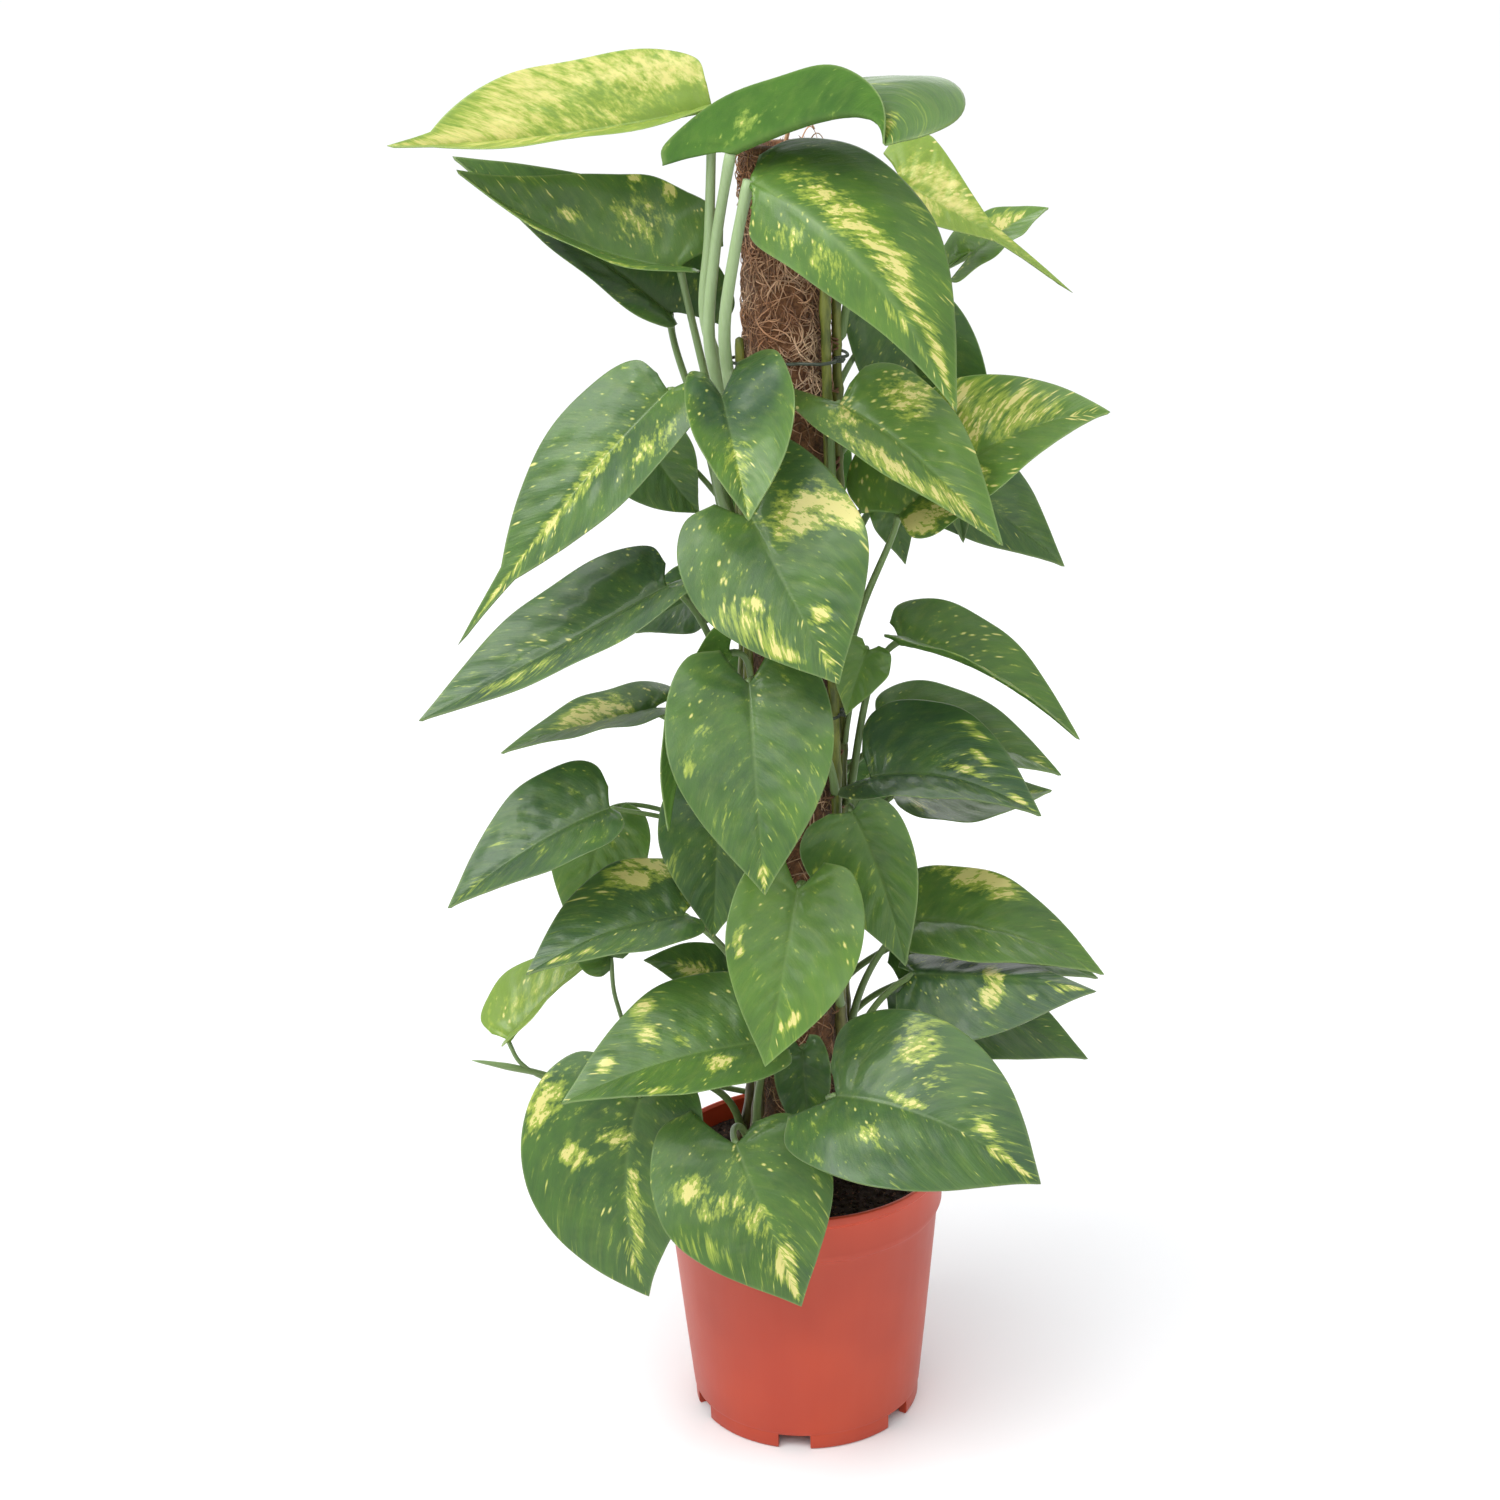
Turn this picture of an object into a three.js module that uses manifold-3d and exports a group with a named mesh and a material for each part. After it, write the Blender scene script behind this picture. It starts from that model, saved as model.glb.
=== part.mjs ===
// A golden pothos in a plastic nursery pot: six vines climb a coir pole and carry variegated,
// heart-shaped leaves. Millimetres, +Z up. The origin lies on the pot's axis, on the surface that
// the pot stands on, and the plant's front looks along -Y.
import * as THREE from 'three';
import { mergeVertices } from 'three/addons/utils/BufferGeometryUtils.js';
import Module from 'manifold-3d';

const wasm = await Module();
wasm.setup();

// The gap that is left between pieces that touch on the real plant, and the little more that curved
// or slanting faces need.
const GAP = 0.3;
const SLACK = 0.1;

// Compass angle, counted from +X, of the front.
const FRONT = -90;

const POT = {
  height: 144,
  rimRadius: 75,
  lipHeight: 5,
  collarRadius: 73.6,
  collarHeight: 26,
  neckRadius: 71.6,
  footRadius: 60.6,
  footHeight: 9,
  wall: 1.6,
  lipWall: 2.1,
  draft: 0.2,
  round: 1,
  bead: 0.5,
  sides: 36,
};
const FOOT = {
  floorUnderside: 7.5,
  floorThickness: 2,
  ringWidth: 5,
  round: 1.4,
  notchWidth: 17,
  notchHeight: 8.4,
  notchDepth: 15,
  // Counted from the front, to the right.
  notchAngles: [-68, -8, 52, 112, 172, 232],
  hubRadius: 11,
  hubSides: 18,
  ribWidth: 3,
  overlap: 2,
  weld: 1,
  drainRadius: 4.5,
  drainCircle: 36,
  drainSides: 10,
};
const SOIL = {
  top: 133,
  crown: 2.5,
  clod: 0.9,
  clodWidth: 9,
  corner: 2,
  shoulder: 3,
  sides: 30,
  rings: [60, 46, 32],
};
const POLE = {
  stakeRadius: 10,
  stakeSides: 16,
  stakeRecess: 4,
  coirRadius: 19.6,
  stakeBottom: 14,
  coirBottom: 60,
  top: 664,
  holeSides: 20,
};
const COIR = { sides: 16, rows: 14, relief: 0.7, crown: 1, tuftWidth: 5, tuftLength: 17 };
const TIE = {
  wireRadius: 0.8,
  heights: [391, 566],
  clearance: 1.3,
  start: -20,
  opening: 20,
  steps: 32,
  sides: 4,
  tail: 1.2,
  rise: 3.6,
};

// Each vine: the compass angle from +X where it meets the pole, how far it winds round the pole on
// its way up, how far from the pole's axis it comes out of the soil, and where it ends.
const VINE = {
  radius: 2.8,
  taper: 0.8,
  end: 0.4,
  knuckle: 0.8,
  knuckleSharpness: 4,
  spacing: 46,
  joinHeight: 200,
  rootDepth: 96,
  sides: 6,
};
const VINES = {
  front_left: { angle: 208, wind: -6, foot: 37, top: 575 },
  left: { angle: 176, wind: 4, foot: 42, top: 525 },
  back_left: { angle: 130, wind: 8, foot: 40, top: 505 },
  back: { angle: 64, wind: 4, foot: 44, top: 575 },
  right: { angle: 12, wind: -6, foot: 43, top: 620 },
  front_right: { angle: 332, wind: -16, foot: 38, top: 612 },
};

// The blade's outline and net: for each cross row, its start on the midrib, its end along the leaf,
// its end across the leaf as a share of the half width, and how much of the basal lobe it takes.
const BLADE_ROWS = [
  { mid: 0.0, along: 0.0, across: 0.3, lobe: 0.92 },
  { mid: 0.04, along: 0.01, across: 0.68, lobe: 0.8 },
  { mid: 0.12, along: 0.09, across: 0.93, lobe: 0.3 },
  { mid: 0.24, along: 0.24, across: 1.0, lobe: 0.0 },
  { mid: 0.38, along: 0.42, across: 0.92, lobe: 0.0 },
  { mid: 0.53, along: 0.6, across: 0.7, lobe: 0.0 },
  { mid: 0.68, along: 0.76, across: 0.43, lobe: 0.0 },
  { mid: 0.84, along: 0.9, across: 0.17, lobe: 0.0 },
  { mid: 1.0, along: 1.0, across: 0.0, lobe: 0.0 },
];
const BLADE = {
  thickness: 0.8,
  columns: 2,
  smallHalf: 25,
  lobe: 0.16,
  ripple: 1.0,
  ripples: 2.3,
  rippleShift: 0.2,
  rippleStep: 0.37,
  leastBend: 1e-4,
};

// The stalk's rise, reach, under and behind are shares of its length: how steeply it leaves the vine
// and how far it comes to the blade from below and from behind. Its end sinks into the blade.
const STALK = {
  radius: 2.1,
  taper: 0.72,
  sides: 5,
  steps: 5,
  seat: 0.9,
  lean: 0.35,
  rise: 0.4,
  reach: 0.08,
  under: 0.22,
  behind: 0.12,
  sink: 0.5,
};
const SPROUT = { radii: [1.2, 2.0, 0.8], foot: 0.85 };

// Each wave of the small bumps: its height, its pace along both ways and its start.
const BUMPS = [
  { height: 0.5, paceA: 3.1, paceB: 1.7, start: 0 },
  { height: 0.3, paceA: 7.3, paceB: -4.1, start: 1.3 },
  { height: 0.2, paceA: 1.9, paceB: 9.7, start: 2.1 },
];

// Each leaf of a vine: the height where its stalk leaves the vine, the joint of stalk and blade, the
// blade's tip, the way its upper face looks, how far the middle of its midrib bows off the straight
// line, the widths of its left and right halves, and how far each half folds up, in degrees. Some
// also say how each half curls on, how the blade twists, how far the margin's belly moves to the
// tip, the length of the basal lobes and of the drip tip, all three as shares of the leaf's length,
// the stalk's radius, points that the stalk passes, and the tip of a rolled young leaf on the stalk.
const LEAVES = {
  front_left: [
    { at: 548, base: [-32, 10, 681], tip: [-182, -5, 669], up: [0, -0.5, 0.87], bow: [0, 0, -4],
      half: [27, 34], fold: [32, 38], twist: -8, belly: [0.17, 0.2], lobe: [0.01, 0], drip: 0.1,
      stalk: 3.0, via: [[-38, -13, 587], [-35, -8, 625]] },
    { at: 530, base: [-24, -45, 666], tip: [42, -95, 672], up: [0, 0, 1], bow: [18, -6, 15],
      half: [47, 23], fold: [42, 85], curl: [-50, 0], lobe: [0.1, 0.22], belly: [0.34, 0], stalk: 3.2,
      via: [[-36, -21, 575], [-32, -28, 622]] },
    { at: 512, base: [-16, -47, 654], tip: [73, -95, 556], up: [0.2, -0.75, 0.62], bow: [5, -16, 14],
      half: [50, 24], fold: [-4, -42], lobe: [0.06, -0.08], belly: [0.05, -0.04], stalk: 3.4,
      via: [[-26, -26, 548], [-29, -37, 584], [-23, -44, 623]] },
    { at: 480, base: [-31, -45, 557], tip: [-20, -97, 510], up: [0, -0.75, 0.66], bow: [0, -5, 3],
      half: [36, 20], fold: [10, 20], curl: [40, 10], lobe: [0.25, 0.2], stalk: 2.4,
      via: [[-33, -27, 505], [-35, -37, 535]] },
    { at: 170, base: [-23, -70, 241], tip: [-118, -95, 223], up: [-0.1, -0.6, 0.8], bow: [0, 0, 5],
      half: [30, 42], fold: [22, 5] },
    { at: 148, base: [-34, -84, 193], tip: [-4, -113, 118], up: [0, -0.75, 0.65], bow: [0, -5, 3],
      half: [40, 49], fold: [8, 5], lobe: [0.08, 0.3] },
    { at: 366, base: [-31, -37, 431], tip: [-63, -60, 349], up: [-0.75, 0.3, 0.5], bow: [-5, 0, 5],
      half: [28, 28], fold: [20, 20], lobe: [0.16, 0.02] },
    { at: 300, base: [-38, -20, 352], tip: [-43, -40, 284], up: [0, -0.9, 0.45], bow: [0, 0, 0],
      half: [30, 30], fold: [10, 10] },
  ],
  left: [
    { at: 505, base: [-49, 5, 608], tip: [-152, 8, 656], up: [0.2, -0.5, 0.85], bow: [0, 0, -9],
      half: [22, 41], fold: [30, 36], lobe: [0.1, 0.2], stalk: 2.3 },
    { at: 482, base: [-55, 24, 584], tip: [-157, 40, 659], up: [0.35, -0.42, 0.84], bow: [0, 0, 2],
      half: [19, 36], fold: [0, 50], lobe: [0.05, 0.2], stalk: 2.3 },
    { at: 455, base: [-56, -25, 556], tip: [-159, -50, 442], up: [-0.3, -0.8, 0.5], bow: [-2, -5, 4],
      half: [29, 31], fold: [16, 5], drip: 0.2, lobe: [0.14, 0.02], belly: 0.06 },
    { at: 374, base: [-60, -30, 463], tip: [-180, -50, 405], up: [-0.1, -0.5, 0.86], bow: [0, 0, -1],
      half: [30, 34], fold: [24, 10], lobe: [0.12, 0.04], belly: 0.05 },
    { at: 300, base: [-92, -25, 349], tip: [-173, -45, 306], up: [-0.25, -0.65, 0.72], bow: [0, 0, 5],
      half: [30, 34], fold: [25, 5], lobe: 0.04, stalk: 1.5 },
    { at: 232, base: [-57, -35, 295], tip: [-135, -60, 276], up: [-0.15, -0.45, 0.88], bow: [0, 0, 6],
      half: [30, 38], fold: [20, 10], lobe: [0.08, 0.22] },
    { at: 160, base: [-82, -60, 207], tip: [-80, -85, 109], up: [-0.1, -0.85, 0.5], bow: [-9, -5, 0],
      half: [40, 54], fold: [12, 5] },
  ],
  back_left: [
    { at: 465, base: [-72, 20, 528], tip: [-44, 15, 487], up: [-0.2, -0.9, 0.3], bow: [0, 0, -3],
      half: [20, 24], fold: [10, 10], stalk: 1.6 },
    { at: 404, base: [-42, 12, 446], tip: [-78, 20, 425], up: [-0.2, -0.8, 0.5], bow: [0, 0, 3],
      half: [18, 18], fold: [10, 10], stalk: 1.6 },
    { at: 345, base: [-69, -5, 393], tip: [-146, -10, 374], up: [0, -0.1, 1], bow: [0, 0, 3],
      half: [24, 24], fold: [10, 14] },
    { at: 285, base: [-96, 15, 332], tip: [-115, 5, 265], up: [-0.2, -0.8, 0.5], bow: [0, 0, 3],
      half: [30, 28], fold: [10, 5], stalk: 1.6 },
    { at: 205, base: [-35, 8, 238], tip: [-81, 20, 247], up: [0, -0.7, 0.7], bow: [0, 0, 3],
      half: [14, 16], fold: [10, 10], stalk: 1.6 },
    { at: 167, base: [-151, -12, 218], tip: [-98, 10, 258], up: [-0.3, -0.4, 0.85], bow: [0, 0, 5],
      half: [29, 20], fold: [10, 40], lobe: 0.04, stalk: 1.5, sprout: [-169, -20, 211],
      via: [[-95, 6, 190], [-130, -8, 193], [-145, -12, 205]] },
    { at: 185, base: [-96, -8, 261], tip: [-114, -8, 284], up: [0, -0.9, 0.4], bow: [0, 0, 0],
      half: [15, 14], fold: [10, 10], stalk: 1.5, via: [[-60, 22, 205], [-84, 14, 200], [-95, 3, 232]] },
    { at: 320, base: [0, 62, 395], tip: [0, 112, 305], up: [0, 0.8, 0.6], bow: [0, 6, 6],
      half: [34, 33], fold: [8, 10] },
  ],
  back: [
    { at: 536, base: [12, 58, 640], tip: [15, 104, 560], up: [0, 0.8, 0.6], bow: [0, 6, 6],
      half: [31, 30], fold: [10, 8] },
    { at: 440, base: [48, 14, 492], tip: [57, 12, 459], up: [0.2, -0.9, 0.3], bow: [0, 0, 2],
      half: [11, 12], fold: [10, 10], stalk: 1.4 },
    { at: 415, base: [0, 64, 505], tip: [-5, 114, 415], up: [0, 0.8, 0.6], bow: [0, 6, 6],
      half: [34, 36], fold: [8, 12] },
    { at: 325, base: [48, 12, 370], tip: [136, 14, 346], up: [0.1, -0.35, 0.93], bow: [0, 0, 8],
      half: [36, 30], fold: [10, 10], lobe: 0.06 },
    { at: 290, base: [52, 14, 340], tip: [133, 28, 333], up: [0, -0.3, 0.95], bow: [0, 0, -3],
      half: [30, 30], fold: [10, 10], lobe: 0.06 },
    { at: 262, base: [15, 66, 330], tip: [25, 120, 240], up: [0, 0.8, 0.6], bow: [0, 6, 6],
      half: [38, 36], fold: [10, 8] },
    { at: 212, base: [60, 5, 265], tip: [155, 0, 239], up: [0, -0.3, 0.95], bow: [0, 0, 4],
      half: [30, 30], fold: [10, 10], lobe: 0.06 },
    { at: 185, base: [52, 2, 238], tip: [152, 10, 188], up: [0.1, -0.5, 0.85], bow: [0, 0, 5],
      half: [32, 40], fold: [10, 10], lobe: 0.08 },
  ],
  right: [
    { at: 575, base: [56, 30, 643], tip: [137, 10, 591], up: [0.3, -0.8, 0.52], bow: [0, 0, 3],
      half: [30, 15], fold: [4, 6], lobe: [0.25, 0.1], drip: 0.38, belly: [-0.3, 0] },
    { at: 552, base: [92, 45, 606], tip: [131, 60, 625], up: [-0.3, -0.4, 0.87], bow: [0, 0, 3],
      half: [18, 18], fold: [10, 10], lobe: 0.4, stalk: 1.7, via: [[35, 28, 562], [62, 48, 588]] },
    { at: 520, base: [50, 30, 577], tip: [86, 20, 467], up: [-0.45, -0.85, 0.2], bow: [5, 0, 5],
      half: [35, 26], fold: [0, 40], stalk: 2.2 },
    { at: 455, base: [68, 48, 500], tip: [139, 38, 449], up: [0.1, -0.7, 0.7], bow: [0, 0, 4],
      half: [30, 30], fold: [10, 10] },
    { at: 412, base: [51, -23, 493], tip: [149, -38, 543], up: [-0.3, -0.6, 0.75], bow: [0, 0, 12],
      half: [40, 29], fold: [25, 5], lobe: [0.1, 0] },
    { at: 372, base: [36, -22, 426], tip: [25, -32, 396], up: [0.2, -0.9, 0.3], bow: [0, 0, 2],
      half: [14, 16], fold: [20, 10], stalk: 1.5 },
    { at: 340, base: [52, -12, 427], tip: [139, -30, 380], up: [0.15, -0.35, 0.92], bow: [0, 0, 9],
      half: [31, 28], fold: [15, 38], lobe: 0.08 },
    { at: 215, base: [57, -20, 283], tip: [152, -40, 259], up: [0.1, -0.4, 0.9], bow: [0, 0, 8],
      half: [36, 30], fold: [8, 8], lobe: 0.1 },
    { at: 190, base: [56, -45, 264], tip: [145, -62, 260], up: [0.1, -0.75, 0.65], bow: [0, 0, 3],
      half: [27, 36], fold: [-45, 5], lobe: 0.1 },
  ],
  front_right: [
    { at: 478, base: [24, -30, 549], tip: [96, -75, 490], up: [0.05, -0.7, 0.7], bow: [0, 0, 6],
      half: [33, 31], fold: [5, 28], lobe: [0.02, 0.24] },
    { at: 440, base: [-19, -65, 504], tip: [19, -105, 435], up: [0, -0.9, 0.45], bow: [0, -5, 0],
      half: [45, 42], fold: [5, 5], lobe: [0.38, 0.14], stalk: 2.4 },
    { at: 352, base: [-22, -70, 426], tip: [-17, -115, 337], up: [0, -0.88, 0.47], bow: [0, -5, 0],
      half: [38, 41], fold: [8, 8], lobe: 0.16 },
    { at: 318, base: [36, -34, 365], tip: [117, -60, 352], up: [0.1, -0.5, 0.86], bow: [0, 0, 9],
      half: [44, 30], fold: [10, 25], lobe: [0.05, 0.16] },
    { at: 280, base: [26, -50, 353], tip: [51, -65, 277], up: [-0.2, -0.9, 0.35], bow: [2, 0, 3],
      half: [26, 33], fold: [30, 0], lobe: 0.06 },
    { at: 236, base: [-1, -75, 324], tip: [-19, -110, 247], up: [0, -0.85, 0.5], bow: [0, -5, 0],
      half: [35, 31], fold: [8, 10], lobe: 0.16 },
    { at: 180, base: [0, -40, 222], tip: [2, -57, 174], up: [0, -0.85, 0.5], bow: [0, 0, 0],
      half: [14, 15], fold: [10, 10], stalk: 1.6 },
    { at: 150, base: [15, -92, 222], tip: [111, -127, 190], up: [0, -0.7, 0.7], bow: [0, -4, 12],
      half: [48, 44], fold: [5, 8], lobe: [0.05, 0.22], belly: 0.07 },
  ],
};

const SURFACES = {
  pot: { color: 0xb84e38, roughness: 0.45 },
  soil: { color: 0x2b2019, roughness: 0.95 },
  stake: { color: 0xb08a5a, roughness: 0.7 },
  coir: { color: 0x84654f, roughness: 0.95 },
  wire: { color: 0x3c4436, roughness: 0.5 },
  vine: { color: 0x6f7f35, roughness: 0.5 },
  leaf: { color: 0x4d7a33, roughness: 0.4 },
};

function piece(name, geometry, surface) {
  const material = new THREE.MeshStandardMaterial({ ...SURFACES[surface], metalness: 0 });
  const mesh = new THREE.Mesh(geometry, material);
  mesh.name = name;
  return mesh;
}

function toSolid(geometry) {
  geometry.deleteAttribute('normal');
  geometry.deleteAttribute('uv');
  const merged = mergeVertices(geometry, 1e-4);
  return new wasm.Manifold(new wasm.Mesh({
    numProp: 3,
    vertProperties: new Float32Array(merged.attributes.position.array),
    triVerts: new Uint32Array(merged.index.array),
  }));
}

function toGeometry(solid) {
  const mesh = solid.getMesh();
  const geometry = new THREE.BufferGeometry();
  geometry.setAttribute('position', new THREE.BufferAttribute(mesh.vertProperties, 3));
  geometry.setIndex(new THREE.BufferAttribute(mesh.triVerts, 1));
  geometry.computeVertexNormals();
  return geometry;
}

function meshGeometry(points, triangles) {
  const geometry = new THREE.BufferGeometry();
  const numbers = points.flatMap((point) => point.toArray());
  geometry.setAttribute('position', new THREE.Float32BufferAttribute(numbers, 3));
  geometry.setIndex(triangles);
  return geometry;
}

function onCircle(angle, radius, z) {
  const turn = THREE.MathUtils.degToRad(angle);
  return new THREE.Vector3(radius * Math.cos(turn), radius * Math.sin(turn), z);
}

// A round rod through the points, with a radius at each point and flat ends.
function rod(points, radii, sides) {
  const vertices = [];
  const triangles = [];
  let side = null;
  points.forEach((point, i) => {
    const before = points[Math.max(i - 1, 0)];
    const after = points[Math.min(i + 1, points.length - 1)];
    const along = after.clone().sub(before).normalize();
    if (!side) {
      side = new THREE.Vector3(1, 0, 0);
      if (Math.abs(along.x) > 0.8) side.set(0, 1, 0);
    }
    side.addScaledVector(along, -side.dot(along)).normalize();
    const across = along.clone().cross(side);
    for (let k = 0; k < sides; k += 1) {
      const turn = (2 * Math.PI * k) / sides;
      vertices.push(point.clone()
        .addScaledVector(side, radii[i] * Math.cos(turn))
        .addScaledVector(across, radii[i] * Math.sin(turn)));
    }
  });
  const rings = points.length;
  for (let i = 0; i < rings - 1; i += 1) {
    for (let k = 0; k < sides; k += 1) {
      const a = i * sides + k;
      const b = i * sides + ((k + 1) % sides);
      triangles.push(a, b, b + sides, a, b + sides, a + sides);
    }
  }
  for (let k = 1; k < sides - 1; k += 1) {
    const end = (rings - 1) * sides;
    triangles.push(0, k + 1, k, end, end + k, end + k + 1);
  }
  return meshGeometry(vertices, triangles);
}

// A lathe turned round Z from a closed outline of [radius, height] points.
function turned(outline, sides) {
  const profile = outline.map(([radius, height]) => new THREE.Vector2(radius, height));
  profile.push(profile[0].clone());
  const geometry = new THREE.LatheGeometry(profile, sides);
  geometry.rotateX(Math.PI / 2);
  return geometry;
}

function drum(radius, bottom, top, sides) {
  const geometry = new THREE.CylinderGeometry(radius, radius, top - bottom, sides);
  geometry.rotateX(Math.PI / 2);
  geometry.translate(0, 0, (bottom + top) / 2);
  return geometry;
}

// Inside radius of the pot at a height, which the soil follows.
function potInside(z) {
  const share = (z - POT.footHeight) / (POT.height - POT.collarHeight - POT.footHeight);
  return THREE.MathUtils.lerp(POT.footRadius, POT.neckRadius, Math.min(share, 1)) - POT.wall;
}

function pot() {
  const collarBottom = POT.height - POT.collarHeight;
  const lipBottom = POT.height - POT.lipHeight;
  const floorTop = FOOT.floorUnderside + FOOT.floorThickness;
  const shell = toSolid(turned([
    [0, FOOT.floorUnderside],
    [POT.footRadius - FOOT.ringWidth, FOOT.floorUnderside],
    [POT.footRadius - FOOT.ringWidth, 0],
    [POT.footRadius - FOOT.round, 0],
    [POT.footRadius - POT.draft, FOOT.round],
    [POT.footRadius, POT.footHeight],
    [POT.footRadius + POT.bead, POT.footHeight + POT.bead],
    [POT.neckRadius, collarBottom],
    [POT.collarRadius - POT.draft, collarBottom + POT.round],
    [POT.collarRadius, lipBottom - POT.round],
    [POT.rimRadius, lipBottom],
    [POT.rimRadius, POT.height - POT.round],
    [POT.rimRadius - POT.round, POT.height],
    [POT.rimRadius - POT.lipWall, POT.height],
    [POT.collarRadius - POT.wall, lipBottom - 2 * POT.round],
    [POT.collarRadius - POT.wall - POT.draft, collarBottom + 2 * POT.round],
    [POT.neckRadius - POT.wall, collarBottom],
    [POT.footRadius - POT.wall, floorTop + FOOT.round],
    [POT.footRadius - POT.wall - FOOT.round, floorTop],
    [0, floorTop],
  ], POT.sides));
  const bossTop = floorTop - FOOT.weld;
  let solid = shell.add(toSolid(drum(FOOT.hubRadius, 0, bossTop, FOOT.hubSides)));
  const halfStep = 180 / FOOT.notchAngles.length;
  FOOT.notchAngles.forEach((angle) => {
    const turn = THREE.MathUtils.degToRad(FRONT + angle);
    const notch = new THREE.BoxGeometry(FOOT.notchDepth, FOOT.notchWidth, 2 * FOOT.notchHeight);
    notch.translate(POT.footRadius, 0, 0);
    notch.rotateZ(turn);
    solid = solid.subtract(toSolid(notch));
    const ribStart = FOOT.hubRadius - FOOT.overlap;
    const ribLength = POT.footRadius - FOOT.ringWidth + FOOT.overlap - ribStart;
    const rib = new THREE.BoxGeometry(ribLength, FOOT.ribWidth, bossTop);
    rib.translate(ribStart + ribLength / 2, 0, bossTop / 2);
    rib.rotateZ(turn + THREE.MathUtils.degToRad(halfStep));
    solid = solid.add(toSolid(rib));
    const holeBottom = FOOT.floorUnderside - FOOT.weld;
    const hole = drum(FOOT.drainRadius, holeBottom, floorTop + FOOT.weld, FOOT.drainSides);
    hole.translate(FOOT.drainCircle, 0, 0);
    hole.rotateZ(turn);
    solid = solid.subtract(toSolid(hole));
  });
  return piece('pot', toGeometry(solid), 'pot');
}

// Small bumps on a surface, the same on every run.
function bumps(a, b) {
  return BUMPS.reduce((sum, wave) => {
    const turn = a * wave.paceA + b * wave.paceB + wave.start;
    return sum + wave.height * Math.sin(turn);
  }, 0);
}

function vinePoint(vine, z) {
  const onPole = POLE.coirRadius + COIR.relief + GAP + VINE.radius + VINE.knuckle;
  const share = THREE.MathUtils.smoothstep(z, VINE.rootDepth, VINE.joinHeight);
  const radius = THREE.MathUtils.lerp(vine.foot, onPole, share);
  const climbed = Math.max(z - VINE.joinHeight, 0) / (POLE.top - VINE.joinHeight);
  return onCircle(vine.angle + vine.wind * climbed, radius, z);
}

function vineRadius(vine, z) {
  const phase = ((z - vine.foot) / VINE.spacing) * 2 * Math.PI;
  const swell = Math.max(Math.cos(phase), 0) ** VINE.knuckleSharpness;
  const taper = THREE.MathUtils.lerp(1, VINE.taper, (z - VINE.rootDepth) / (vine.top - VINE.rootDepth));
  return (VINE.radius + VINE.knuckle * swell) * taper;
}

// The heights and radii of the rings that the stem is built from, two for each knuckle.
function vineRings(vine) {
  const steps = Math.round((vine.top - VINE.rootDepth) / (VINE.spacing / 2));
  return Array.from({ length: steps + 1 }, (_, i) => {
    const z = THREE.MathUtils.lerp(VINE.rootDepth, vine.top, i / steps);
    return { z, radius: vineRadius(vine, z) };
  });
}

// The built stem's centre and radius at any height, between its rings.
function stemAt(vine, z) {
  const rings = vineRings(vine);
  const above = Math.max(rings.findIndex((ring) => ring.z >= z), 1);
  const [low, high] = [rings[above - 1], rings[above]];
  const share = (z - low.z) / (high.z - low.z);
  return {
    centre: vinePoint(vine, low.z).lerp(vinePoint(vine, high.z), share),
    radius: THREE.MathUtils.lerp(low.radius, high.radius, share),
  };
}

function vineGeometry(vine, extra) {
  const rings = vineRings(vine);
  const points = rings.map((ring) => vinePoint(vine, ring.z));
  const radii = rings.map((ring) => ring.radius + extra);
  points.push(vinePoint(vine, vine.top + VINE.radius));
  radii.push(VINE.radius * VINE.end + extra);
  return rod(points, radii, VINE.sides);
}

function vines() {
  return Object.entries(VINES).map(([name, vine]) => piece(`vine_${name}`, vineGeometry(vine, 0), 'vine'));
}

function soil() {
  const floorTop = FOOT.floorUnderside + FOOT.floorThickness;
  const edge = potInside(SOIL.top) - GAP;
  const bed = turned([
    [0, floorTop + GAP],
    [potInside(floorTop) - SOIL.corner, floorTop + GAP],
    [potInside(floorTop + SOIL.corner) - GAP - SLACK, floorTop + SOIL.corner + GAP + SLACK],
    [potInside(POT.height - POT.collarHeight) - GAP, POT.height - POT.collarHeight],
    [edge, SOIL.top - SOIL.shoulder],
    ...SOIL.rings.map((radius) => [radius, SOIL.top + SOIL.crown * (1 - radius / edge)]),
    [0, SOIL.top + SOIL.crown],
  ], SOIL.sides);
  const position = bed.attributes.position;
  for (let i = 0; i < position.count; i += 1) {
    const [x, y, z] = [position.getX(i), position.getY(i), position.getZ(i)];
    if (z > SOIL.top - SOIL.shoulder / 2 && Math.hypot(x, y) > 1) {
      position.setZ(i, z + SOIL.clod * bumps(x / SOIL.clodWidth, y / SOIL.clodWidth));
    }
  }
  const holeRadius = POLE.coirRadius + COIR.relief + GAP;
  const coirHole = drum(holeRadius, POLE.coirBottom - GAP, POT.height, POLE.holeSides);
  const stakeHole = drum(POLE.stakeRadius + GAP, POLE.stakeBottom - GAP, SOIL.top, POLE.stakeSides);
  let solid = toSolid(bed).subtract(toSolid(coirHole)).subtract(toSolid(stakeHole));
  Object.values(VINES).forEach((vine) => {
    solid = solid.subtract(toSolid(vineGeometry(vine, GAP + SLACK)));
  });
  return piece('soil', toGeometry(solid), 'soil');
}

function stake() {
  const stick = drum(POLE.stakeRadius, POLE.stakeBottom, POLE.top - POLE.stakeRecess, POLE.stakeSides);
  return piece('pole_stake', stick, 'stake');
}

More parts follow.
